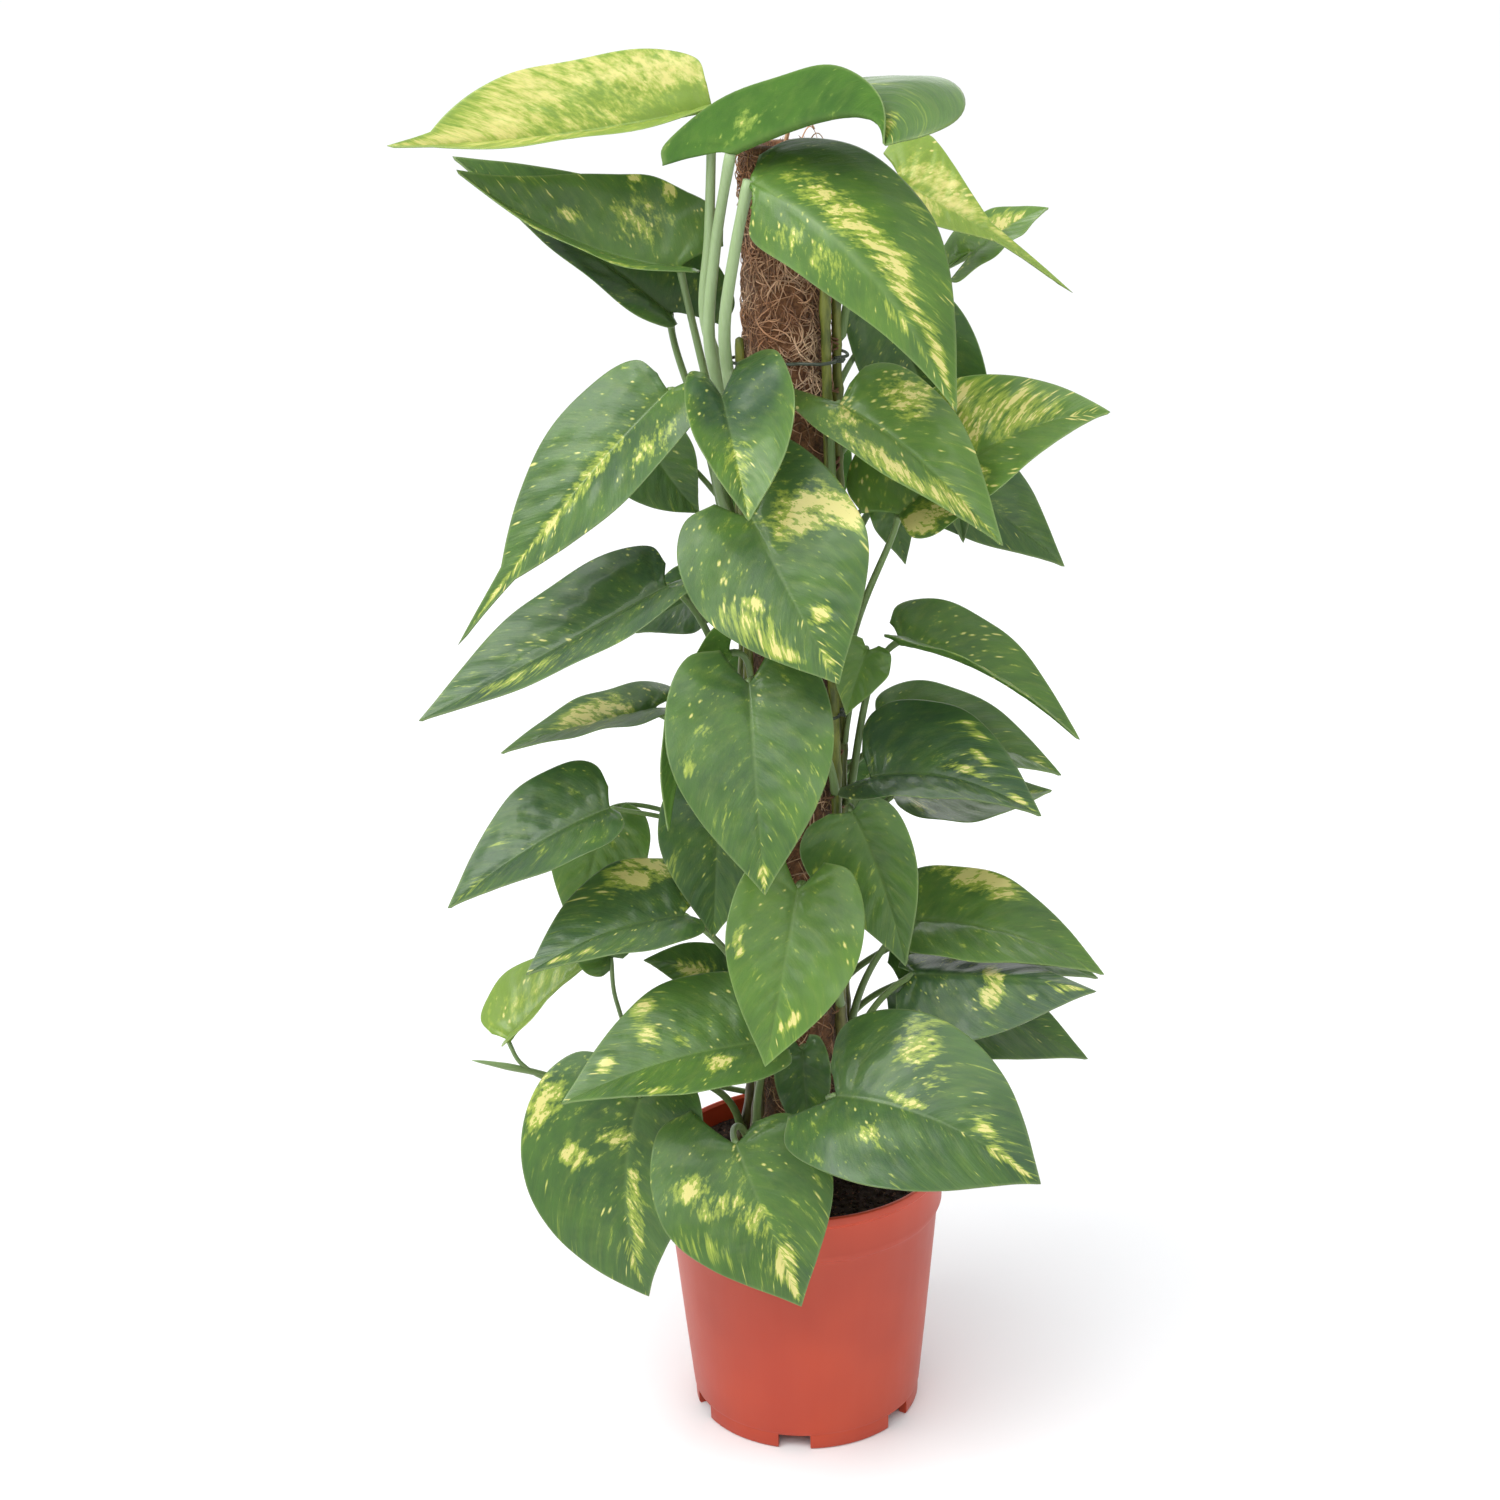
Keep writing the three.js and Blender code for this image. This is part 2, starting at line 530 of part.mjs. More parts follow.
function coir() {
  const outline = [];
  for (let row = 0; row <= COIR.rows; row += 1) {
    outline.push([POLE.coirRadius, THREE.MathUtils.lerp(POLE.coirBottom, POLE.top, row / COIR.rows)]);
  }
  outline.push([POLE.stakeRadius + GAP, POLE.top + COIR.crown], [POLE.stakeRadius + GAP, POLE.coirBottom]);
  const sleeve = turned(outline, COIR.sides);
  const position = sleeve.attributes.position;
  for (let i = 0; i < position.count; i += 1) {
    const [x, y, z] = [position.getX(i), position.getY(i), position.getZ(i)];
    const radius = Math.hypot(x, y);
    if (radius > (POLE.stakeRadius + POLE.coirRadius) / 2) {
      const tuft = bumps(x / COIR.tuftWidth, y / COIR.tuftWidth + z / COIR.tuftLength);
      const scale = 1 + (COIR.relief * tuft) / radius;
      position.setXY(i, x * scale, y * scale);
    }
  }
  return piece('pole_coir', toGeometry(toSolid(sleeve)), 'coir');
}

// How far from the pole's axis the tie wire has to run at an angle, to pass outside the vines.
function tieReach(angle, height) {
  const outward = onCircle(angle, 1, 0);
  const reach = VINE.radius + VINE.knuckle + TIE.clearance;
  let radius = POLE.coirRadius + COIR.relief + TIE.clearance;
  Object.values(VINES).forEach((vine) => {
    if (vine.top < height) return;
    const stem = vinePoint(vine, height);
    const offset = Math.abs(outward.x * stem.y - outward.y * stem.x);
    const ahead = outward.x * stem.x + outward.y * stem.y;
    if (ahead > 0 && offset < reach) {
      radius = Math.max(radius, ahead + Math.sqrt(reach * reach - offset * offset));
    }
  });
  return radius;
}

// A wire that goes round the pole and its vines and ends in two short twisted tails.
function tie(name, height) {
  const points = [];
  const step = (360 - TIE.opening) / TIE.steps;
  for (let i = 0; i <= TIE.steps; i += 1) {
    const angle = TIE.start + step * i;
    const reaches = [angle - step / 2, angle, angle + step / 2].map((near) => tieReach(near, height));
    points.push(onCircle(angle, Math.max(...reaches), height));
  }
  const first = points[0].clone().multiplyScalar(TIE.tail);
  const last = points[TIE.steps].clone().multiplyScalar(TIE.tail);
  points.unshift(first.setZ(height + TIE.rise));
  points.push(last.setZ(height - TIE.rise));
  return piece(name, rod(points, points.map(() => TIE.wireRadius), TIE.sides), 'wire');
}

// The blade as a surface: along runs from the joint at 0 to the tip at 1, and across runs over the
// half's real width from the midrib at 0 to the margin at 1, on the left for side 1.
function bladeSurface(leaf, phase) {
  const base = new THREE.Vector3(...leaf.base);
  const chord = new THREE.Vector3(...leaf.tip).sub(base);
  const bow = new THREE.Vector3(...leaf.bow);
  const up = new THREE.Vector3(...leaf.up);
  const curl = leaf.curl || [0, 0];
  const spine = (u) => {
    const rise = 4 * u * (1 - Math.max(u, 0));
    return base.clone().addScaledVector(chord, u).addScaledVector(bow, rise);
  };
  const frame = (u) => {
    const v = THREE.MathUtils.clamp(u, 0, 1);
    const along = chord.clone().addScaledVector(bow, 4 * (1 - 2 * v)).normalize();
    const normal = up.clone().addScaledVector(along, -up.dot(along)).normalize();
    if (leaf.twist) normal.applyAxisAngle(along, THREE.MathUtils.degToRad(leaf.twist * v));
    return { along, normal, left: normal.clone().cross(along) };
  };
  return (along, across, side, width) => {
    const { normal, left } = frame(along);
    const index = side > 0 ? 0 : 1;
    const reach = across * width * leaf.half[index];
    const fold = THREE.MathUtils.degToRad(leaf.fold[index]);
    const bend = THREE.MathUtils.degToRad(curl[index]) / leaf.half[index];
    const flat = Math.abs(bend) < BLADE.leastBend;
    const out = flat ? reach * Math.cos(fold) : (Math.sin(fold + bend * reach) - Math.sin(fold)) / bend;
    const rise = flat ? reach * Math.sin(fold) : (Math.cos(fold) - Math.cos(fold + bend * reach)) / bend;
    const edge = (reach / leaf.half[index]) ** 2;
    const turns = BLADE.ripples * along + phase + side * BLADE.rippleShift;
    const wave = BLADE.ripple * edge * Math.sin(2 * Math.PI * turns);
    return spine(along).addScaledVector(left, side * out).addScaledVector(normal, rise + wave);
  };
}

function blade(leaf, phase) {
  const surface = bladeSurface(leaf, phase);
  const lobes = [leaf.lobe ?? BLADE.lobe].flat();
  const bellies = [leaf.belly ?? 0].flat();
  const drip = leaf.drip || 0;
  const columns = Math.max(...leaf.half) < BLADE.smallHalf ? 1 : BLADE.columns;
  const span = 2 * columns + 1;
  const grid = BLADE_ROWS.map((row, r) => {
    const last = r === BLADE_ROWS.length - 1;
    const shrink = last ? 1 : 1 - drip;
    const points = [];
    for (let c = 0; c < span; c += 1) {
      const across = Math.abs(c - columns) / columns;
      const side = c < columns ? 1 : -1;
      const lobe = side > 0 ? lobes[0] : lobes.at(-1);
      const belly = side > 0 ? bellies[0] : bellies.at(-1);
      const margin = row.along + belly * Math.sin(Math.PI * row.along) - row.lobe * lobe;
      const along = (row.mid + (margin - row.mid) * across) * shrink;
      points.push(surface(along, across, side, row.across));
    }
    return last ? [points[0]] : points;
  });
  const top = grid.flat();
  const at = (r, c) => (r === grid.length - 1 ? r * span : r * span + c);
  const faces = [];
  for (let r = 0; r < grid.length - 1; r += 1) {
    for (let c = 0; c < span - 1; c += 1) {
      const [a, b, d, e] = [at(r, c), at(r, c + 1), at(r + 1, c), at(r + 1, c + 1)];
      if (r === grid.length - 2) faces.push([a, b, d]);
      else if (c < columns) faces.push([a, b, d], [b, e, d]);
      else faces.push([a, b, e], [a, e, d]);
    }
  }
  const normals = top.map(() => new THREE.Vector3());
  faces.forEach(([a, b, c]) => {
    const normal = top[b].clone().sub(top[a]).cross(top[c].clone().sub(top[a]));
    [a, b, c].forEach((i) => normals[i].add(normal));
  });
  const facing = normals[at(2, columns)].dot(new THREE.Vector3(...leaf.up)) > 0 ? 1 : -1;
  const under = top.map((point, i) => point.clone()
    .addScaledVector(normals[i].normalize(), -facing * BLADE.thickness));
  const count = top.length;
  const rim = [];
  for (let c = 0; c < span; c += 1) rim.push(at(0, c));
  for (let r = 1; r < grid.length; r += 1) rim.push(at(r, span - 1));
  for (let r = grid.length - 2; r > 0; r -= 1) rim.push(at(r, 0));
  const triangles = [];
  faces.forEach(([a, b, c]) => {
    triangles.push(...(facing > 0 ? [a, b, c] : [a, c, b]));
    triangles.push(...(facing > 0 ? [a + count, c + count, b + count] : [a + count, b + count, c + count]));
  });
  rim.forEach((a, i) => {
    const b = rim[(i + 1) % rim.length];
    const wall = [a, a + count, b + count, a, b + count, b];
    triangles.push(...(facing > 0 ? wall : wall.reverse()));
  });
  return meshGeometry([...top, ...under], triangles);
}

// The stalk leaves its vine sideways, climbs, and comes to the blade from below and behind.
function stalk(leaf, vine) {
  const { centre: stem, radius: stemRadius } = stemAt(vine, leaf.at);
  const base = new THREE.Vector3(...leaf.base);
  const tip = new THREE.Vector3(...leaf.tip);
  const along = tip.clone().sub(base).normalize();
  const up = new THREE.Vector3(...leaf.up);
  up.addScaledVector(along, -up.dot(along)).normalize();
  const radius = leaf.stalk || STALK.radius;
  const outward = stem.clone().setZ(0).normalize();
  const target = leaf.via ? new THREE.Vector3(...leaf.via[0]) : base;
  const aim = target.clone().sub(stem).setZ(0).normalize();
  const lean = aim.dot(outward);
  if (lean < STALK.lean) aim.addScaledVector(outward, STALK.lean - lean).normalize();
  // A stalk that leaves upwards lies against the stem with its side, and a level one with its end.
  const level = leaf.via ? target.clone().sub(stem).normalize().dot(aim) : 0;
  const seat = STALK.seat * radius * Math.sqrt(1 - Math.min(level, 1) ** 2);
  const start = stem.clone().addScaledVector(aim, stemRadius + GAP + seat);
  const length = start.distanceTo(base);
  const rise = new THREE.Vector3(0, 0, length * STALK.rise).addScaledVector(aim, length * STALK.reach);
  const arrive = up.clone().multiplyScalar(-STALK.under * length)
    .addScaledVector(along, -STALK.behind * length);
  const end = base.clone().addScaledVector(up, -STALK.sink);
  const path = leaf.via
    ? new THREE.CatmullRomCurve3([start, ...leaf.via.map((p) => new THREE.Vector3(...p)), end])
    : new THREE.CubicBezierCurve3(start, start.clone().add(rise), base.clone().add(arrive), end);
  const points = path.getPoints(STALK.steps);
  const radii = points.map((p, i) => radius * THREE.MathUtils.lerp(1, STALK.taper, i / STALK.steps));
  return rod(points, radii, STALK.sides);
}

// A young leaf, still rolled up, that grows beside the stalk.
function sprout(leaf) {
  const from = new THREE.Vector3(...leaf.via[0]).lerp(new THREE.Vector3(...leaf.via[1]), SPROUT.foot);
  const to = new THREE.Vector3(...leaf.sprout);
  const points = [from, from.clone().lerp(to, 0.5), to];
  return rod(points, SPROUT.radii, STALK.sides);
}

function leaves() {
  const built = [];
  Object.entries(LEAVES).forEach(([vineName, list]) => {
    list.forEach((leaf, i) => {
      const phase = built.length * BLADE.rippleStep;
      let solid = toSolid(blade(leaf, phase)).add(toSolid(stalk(leaf, VINES[vineName])));
      if (leaf.sprout) solid = solid.add(toSolid(sprout(leaf)));
      built.push(piece(`leaf_${vineName}_${i + 1}`, toGeometry(solid), 'leaf'));
    });
  });
  return built;
}

const plant = new THREE.Group();
plant.add(pot(), soil(), stake(), coir(), ...vines());
TIE.heights.forEach((height, i) => plant.add(tie(`tie_${i + 1}`, height)));
plant.add(...leaves());

export default plant;
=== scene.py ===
# A golden pothos in a nursery pot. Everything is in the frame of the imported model: metres, +Z up,
# the plant's front looks along -Y. The sizes in each section are in millimetres.
import math

import bpy
import numpy as np
from mathutils import Matrix, Vector


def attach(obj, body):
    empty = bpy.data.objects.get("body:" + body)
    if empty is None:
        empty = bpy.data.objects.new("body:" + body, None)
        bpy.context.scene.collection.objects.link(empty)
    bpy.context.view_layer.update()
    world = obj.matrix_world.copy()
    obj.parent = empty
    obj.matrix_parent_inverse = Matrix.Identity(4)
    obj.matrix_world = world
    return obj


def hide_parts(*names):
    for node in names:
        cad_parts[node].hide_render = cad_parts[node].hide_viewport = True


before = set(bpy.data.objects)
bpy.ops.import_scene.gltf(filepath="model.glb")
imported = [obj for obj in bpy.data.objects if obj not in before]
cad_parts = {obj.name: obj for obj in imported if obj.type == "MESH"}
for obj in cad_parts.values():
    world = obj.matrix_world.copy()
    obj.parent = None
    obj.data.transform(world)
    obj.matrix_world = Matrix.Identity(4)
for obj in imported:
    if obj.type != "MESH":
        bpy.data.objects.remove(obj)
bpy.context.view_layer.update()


# The nursery pot is one thin shell of terracotta-coloured plastic, moulded in one shot. A rolled
# lip tops a straight collar, the wall tapers to a foot ring that is notched so that water can run
# out, and six ribs join the ring to a hub under the floor.
def colour(red, green, blue):
    """A colour as a screen shows it, from 0 to 255, as the shader wants it."""
    shares = [value / 255 for value in (red, green, blue)]
    return [s / 12.92 if s <= 0.04045 else ((s + 0.055) / 1.055) ** 2.4 for s in shares] + [1.0]


def new_material(name, **sockets):
    """A material with one Principled shader, whose own sockets hold what is the same all over."""
    material = bpy.data.materials.new(name)
    material.use_nodes = True
    shader = material.node_tree.nodes["Principled BSDF"]
    for socket, value in sockets.items():
        shader.inputs[socket.replace("_", " ")].default_value = value
    return material


def node(material, kind, inputs=None, **settings):
    """A shader node: inputs are numbers, colours or other nodes' outputs, by socket name or place."""
    made = material.node_tree.nodes.new("ShaderNode" + kind)
    for setting, value in settings.items():
        setattr(made, setting, value)
    for socket, value in (inputs or {}).items():
        if isinstance(value, bpy.types.NodeSocket):
            material.node_tree.links.new(value, made.inputs[socket])
        else:
            made.inputs[socket].default_value = value
    return made


def feed(material, socket, value):
    """Links an output to one of the Principled shader's sockets."""
    shader = material.node_tree.nodes["Principled BSDF"]
    material.node_tree.links.new(value, shader.inputs[socket])


def position(material, stretch=(1, 1, 1)):
    """The place on the object, in metres times the stretch."""
    place = node(material, "TexCoord").outputs["Object"]
    return node(material, "Mapping", {"Vector": place, "Scale": stretch}).outputs["Vector"]


def noise(material, vector, scale, detail=3.0, roughness=0.55):
    sockets = {"Vector": vector, "Scale": scale, "Detail": detail, "Roughness": roughness}
    return node(material, "TexNoise", sockets).outputs["Fac"]


def reckon(material, operation, first, second=0.0, clamp=False):
    sockets = {0: first, 1: second}
    return node(material, "Math", sockets, operation=operation, use_clamp=clamp).outputs[0]


def between(material, value, low, high):
    """0 below low, 1 above high, with soft ends."""
    sockets = {"Value": value, "From Min": low, "From Max": high}
    return node(material, "MapRange", sockets, interpolation_type="SMOOTHSTEP").outputs["Result"]


def spread(material, value, low, high):
    """Turns a value from 0 to 1 into one from low to high."""
    sockets = {"Value": value, "To Min": low, "To Max": high}
    return node(material, "MapRange", sockets).outputs["Result"]


def blended(material, share, first, second):
    """Two colours mixed by a share."""
    sockets = {0: share, 6: first, 7: second}
    return node(material, "Mix", sockets, data_type="RGBA").outputs[2]


def relief(material, height, depth, under=None):
    """A bump that is depth metres high, laid over the bump under it."""
    sockets = {"Height": height, "Distance": depth, "Strength": 1.0}
    if under:
        sockets["Normal"] = under
    return node(material, "Bump", sockets).outputs["Normal"]


def piece(name, points, faces, materials, slot, replaces, flat=False):
    """A mesh through points in millimetres, riding on the plant's one body."""
    mesh = bpy.data.meshes.new(name)
    mesh.from_pydata((np.asarray(points, float) / 1000).tolist(), [], faces)
    mesh.update()
    mesh.polygons.foreach_set("use_smooth", [not flat] * len(mesh.polygons))
    for material in materials:
        mesh.materials.append(material)
    made = bpy.data.objects.new(name, mesh)
    bpy.context.scene.collection.objects.link(made)
    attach(made, "root")
    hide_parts(replaces)
    return made


def turned(outline, sides):
    """A closed outline of (radius, height) points turned round the pot's axis: points and faces."""
    turns = np.linspace(0, 2 * math.pi, sides, endpoint=False)
    points = [(r * math.cos(t), r * math.sin(t), z) for r, z in outline for t in turns]
    faces = []
    for i in range(len(outline)):
        ring, after = i * sides, ((i + 1) % len(outline)) * sides
        for k in range(sides):
            step = (k + 1) % sides
            faces.append((ring + k, ring + step, after + step, after + k))
    return points, faces


def helper(name, points, faces):
    """A mesh that only cuts or joins, and is thrown away."""
    mesh = bpy.data.meshes.new(name)
    mesh.from_pydata((np.asarray(points, float) / 1000).tolist(), [], faces)
    made = bpy.data.objects.new(name, mesh)
    bpy.context.scene.collection.objects.link(made)
    return made


def joined(target, tool, operation):
    """Cuts or joins one mesh with another and removes the second."""
    boolean = target.modifiers.new("cut", "BOOLEAN")
    boolean.operation = operation
    boolean.solver = "EXACT"
    boolean.object = tool
    depsgraph = bpy.context.evaluated_depsgraph_get()
    done = bpy.data.meshes.new_from_object(target.evaluated_get(depsgraph))
    target.modifiers.clear()
    target.data = done
    bpy.data.objects.remove(tool)


def beam(length, width, bottom, top, out, angle):
    """The corners and faces of a block that lies along a spoke of the pot."""
    turn = math.radians(angle)
    spoke, side = (math.cos(turn), math.sin(turn)), (-math.sin(turn), math.cos(turn))
    points = []
    for z in (bottom, top):
        for along, across in ((0, -1), (1, -1), (1, 1), (0, 1)):
            x = out + along * length
            y = across * width / 2
            points.append((x * spoke[0] + y * side[0], x * spoke[1] + y * side[1], z))
    return points, [(3, 2, 1, 0), (4, 5, 6, 7), (0, 1, 5, 4), (1, 2, 6, 5), (2, 3, 7, 6), (3, 0, 4, 7)]


pot_height = 144
collar_bottom = 118
foot_radius = 60.6
neck_radius = 71.6
collar_radius = 73.6
rim_radius = 75
wall = 1.6
floor_top = 9.5
floor_underside = 7.5
hub_radius = 11
hub_height = 8.6
notch_width = 17
notch_height = 8.4
rib_thickness = 3
drain_radius = 4.5
drain_reach = 36
pot_sides = 144
pot_outline = [
    (0.01, floor_underside), (foot_radius - 5, floor_underside), (foot_radius - 5, 0.3),
    (foot_radius - 4.7, 0), (foot_radius - 1.4, 0), (foot_radius - 0.6, 0.4),
    (foot_radius - 0.2, 1.2), (foot_radius - 0.05, 8.3), (foot_radius - 0.02, 8.8),
    (foot_radius + 0.45, 9.5), (foot_radius + 0.62, 10.2),
    (foot_radius + 4, 44), (foot_radius + 8.5, 92), (neck_radius - 0.35, 115.2),
    (neck_radius, collar_bottom - 1), (neck_radius + 0.5, collar_bottom - 0.1),
    (collar_radius - 0.5, collar_bottom + 0.5), (collar_radius - 0.1, collar_bottom + 1.4),
    (collar_radius, collar_bottom + 4), (collar_radius, 136.6), (collar_radius + 0.1, 138),
    (rim_radius - 0.5, 138.8), (rim_radius, 139.5), (rim_radius, 142.6), (rim_radius - 0.3, 143.5),
    (rim_radius - 1.1, pot_height), (rim_radius - 2, pot_height), (collar_radius - wall, 142.6),
    (collar_radius - wall, 137), (collar_radius - wall - 0.2, 120), (neck_radius - wall, 118),
    (foot_radius + 6.9, 92), (foot_radius + 2.4, 44), (foot_radius - wall, 11),
    (foot_radius - wall - 0.4, 10), (foot_radius - wall - 1.5, floor_top), (0.01, floor_top),
]
pot_shell = helper("pot_shell", *turned(pot_outline, pot_sides))
hub = helper("hub", *turned([(0.01, 0), (hub_radius - 0.4, 0), (hub_radius, 0.4),
                             (hub_radius, hub_height), (0.01, hub_height)], 48))
joined(pot_shell, hub, "UNION")
for notch in (-68, -8, 52, 112, 172, 232):
    notch_block = beam(15, notch_width, -5, notch_height, foot_radius - 7.5, notch - 90)
    joined(pot_shell, helper("notch", *notch_block), "DIFFERENCE")
    rib_block = beam(46, rib_thickness, 0.05, hub_height - 0.05, hub_radius - 2, notch - 60)
    joined(pot_shell, helper("rib", *rib_block), "UNION")
    turn = math.radians(notch - 90)
    hole_points, hole_faces = turned([(0.01, 5), (drain_radius, 5), (drain_radius, 12), (0.01, 12)], 24)
    drain_x, drain_y = drain_reach * math.cos(turn), drain_reach * math.sin(turn)
    hole_points = [(x + drain_x, y + drain_y, z) for x, y, z in hole_points]
    joined(pot_shell, helper("drain", hole_points, hole_faces), "DIFFERENCE")

pot_plastic = new_material("pot_plastic", Roughness=0.42)
place = position(pot_plastic)
clouds = noise(pot_plastic, place, 14.0, 2.0)
streaks = noise(pot_plastic, position(pot_plastic, (1, 1, 0.06)), 90.0, 2.0)
height = node(pot_plastic, "SeparateXYZ", {"Vector": place}).outputs["Z"]
plastic = blended(pot_plastic, between(pot_plastic, clouds, 0.35, 0.65),
                  colour(168, 50, 19), colour(178, 58, 24))
plastic = blended(pot_plastic, spread(pot_plastic, streaks, 0.0, 0.10), plastic, colour(214, 108, 84))
# Painted light: the band at the lip is blended toward a brighter orange, a painted glow where the lip catches
# the light.
lip_painted_glow = between(pot_plastic, height, 0.112, 0.142)
plastic = blended(pot_plastic, reckon(pot_plastic, "MULTIPLY", lip_painted_glow, 0.5), plastic, colour(212, 72, 36))
feed(pot_plastic, "Base Color", plastic)
grain = noise(pot_plastic, place, 1500.0, 2.0)
scuffs = noise(pot_plastic, position(pot_plastic, (1, 1, 0.3)), 60.0, 4.0, 0.7)
feed(pot_plastic, "Roughness", spread(pot_plastic, scuffs, 0.34, 0.52))
feed(pot_plastic, "Normal", relief(pot_plastic, grain, 0.00003, relief(pot_plastic, clouds, 0.0004)))

pot_mesh = pot_shell.data
pot_points = [tuple(vertex.co * 1000) for vertex in pot_mesh.vertices]
pot_faces = [tuple(polygon.vertices) for polygon in pot_mesh.polygons]
pot = piece("nursery_pot", pot_points, pot_faces, [pot_plastic], "pot_plastic", "pot")
bpy.data.objects.remove(pot_shell)
smooth_below = math.radians(35)
pot.data.set_sharp_from_angle(angle=smooth_below)


# The potting mix is moist dark peat with bark crumbs and bits of root, pressed round the pole and
# the stems and slightly crowned. It fills the pot to a finger's width under the lip.
soil_radius = 69.9
soil_top = 133
soil_bottom = 9.8
soil_crown = 2.5
soil_rings = 44
soil_sides = 120
crumb_count = 1500
smallest_crumb = 0.5
largest_crumb = 1.9
rng = np.random.default_rng(11)


def ripple(a, b):
    """Small bumps, the same on every run."""
    return (np.sin(a * 3.1 + b * 1.7) * 0.5 + np.sin(a * 7.3 - b * 4.1 + 1.3) * 0.3
            + np.sin(a * 1.9 + b * 9.7 + 2.1) * 0.2)


def soil_height(x, y):
    crown = soil_crown * (1 - np.hypot(x, y) / soil_radius)
    return soil_top + crown + 0.9 * ripple(x / 9, y / 9) + 0.5 * ripple(x / 2.7 + 4, y / 3.1)


soil_points = []
for ring in range(soil_rings + 1):
    for k in range(soil_sides):
        turn = 2 * math.pi * k / soil_sides
        radius = max(soil_radius * ring / soil_rings, 0.05)
        x, y = radius * math.cos(turn), radius * math.sin(turn)
        soil_points.append((x, y, float(soil_height(x, y))))
for radius, z in ((soil_radius, 120), (foot_radius - 2.5, 12),
                  (foot_radius - 4, soil_bottom), (0.05, soil_bottom)):
    soil_points += [(radius * math.cos(2 * math.pi * k / soil_sides),
                     radius * math.sin(2 * math.pi * k / soil_sides), z) for k in range(soil_sides)]
soil_faces = []
for ring in range(soil_rings + 4):
    for k in range(soil_sides):
        step = (k + 1) % soil_sides
        low, high = ring * soil_sides, (ring + 1) * soil_sides
        soil_faces.append((low + k, high + k, high + step, low + step))
soil_faces.append(tuple(range(soil_sides))[::-1])
soil_faces.append(tuple(range((soil_rings + 4) * soil_sides, (soil_rings + 5) * soil_sides)))

# Each crumb is a rough eight-sided lump, sunk a little into the bed.
crumb_corners = np.array([(1, 0, 0), (-1, 0, 0), (0, 1, 0), (0, -1, 0), (0, 0, 1), (0, 0, -1)], float)
crumb_faces = [(0, 2, 4), (2, 1, 4), (1, 3, 4), (3, 0, 4), (2, 0, 5), (1, 2, 5), (3, 1, 5), (0, 3, 5)]
for _ in range(crumb_count):
    reach = math.sqrt(rng.uniform(0.09, 0.97)) * (soil_radius - 1.5)
    turn = rng.uniform(0, 2 * math.pi)
    x, y = reach * math.cos(turn), reach * math.sin(turn)
    size = rng.uniform(smallest_crumb, largest_crumb) * np.array([1.0, rng.uniform(0.5, 1.0),
                                                                  rng.uniform(0.35, 0.8)])
    spin = Matrix.Rotation(rng.uniform(0, 2 * math.pi), 3, Vector(rng.normal(size=3)).normalized())
    lump = crumb_corners * rng.uniform(0.7, 1.25, (6, 1)) * size @ np.array(spin)
    start = len(soil_points)
    soil_points += (lump + (x, y, float(soil_height(x, y)) + 0.25)).tolist()
    soil_faces += [tuple(start + corner for corner in face) for face in crumb_faces]

potting_mix = new_material("potting_mix", Roughness=0.95, Specular_IOR_Level=0.25)
place = position(potting_mix)
coarse = noise(potting_mix, place, 260.0, 5.0, 0.65)
bark = noise(potting_mix, place, 620.0, 2.0)
mix = blended(potting_mix, between(potting_mix, coarse, 0.3, 0.7), colour(26, 18, 15), colour(58, 42, 34))
mix = blended(potting_mix, between(potting_mix, bark, 0.62, 0.7), mix, colour(104, 72, 54))
feed(potting_mix, "Base Color", mix)
feed(potting_mix, "Normal", relief(potting_mix, coarse, 0.0012))
piece("potting_mix", soil_points, soil_faces, [potting_mix], "potting_soil", "soil", flat=True)


# The stake inside the pole is a plain round wooden rod. Only its cut top shows, down in the mouth
# of the coir.
stake_radius = 10
stake_bottom = 14
stake_top = 660
stake_outline = [(0.01, stake_bottom), (stake_radius - 0.6, stake_bottom), (stake_radius, stake_bottom + 1),
                 (stake_radius, stake_top - 1.4), (stake_radius - 0.8, stake_top), (0.01, stake_top)]
stake_wood = new_material("stake_wood", Roughness=0.7)
place = position(stake_wood, (1, 1, 0.04))
wood_grain = noise(stake_wood, place, 420.0, 4.0, 0.6)
feed(stake_wood, "Base Color", blended(stake_wood, wood_grain, colour(150, 116, 76), colour(205, 172, 124)))
feed(stake_wood, "Normal", relief(stake_wood, wood_grain, 0.0003))
stake = piece("stake", *turned(stake_outline, 48), [stake_wood], "stake_wood", "pole_stake")
stake.data.set_sharp_from_angle(angle=smooth_below)


# Coconut fibre is wrapped round the stake as a thick felt and held by its own tangle. Curly brown
# fibres stand out of it all over, and a few long ones curl out of its top.
coir_radius = 19.4
coir_bottom = 60
coir_top = 664
felt_sides = 72
felt_rows = 190
fibre_count = 4300
bare_share = 0.45
bare_from = 545
fibre_steps = 7
fibre_radius = 0.3
fibre_lengths = (8, 30)
fibre_lifts = (0.5, 3.0)
rng = np.random.default_rng(5)


def felt_radius(turn, z):
    tufts = ripple(np.cos(turn) * 2.1 + z / 23, np.sin(turn) * 2.3 - z / 31)
    strands = ripple(turn * 9 + z / 3.1, z / 2.3 - turn * 7)
    return coir_radius + 0.45 * tufts + 0.25 * strands


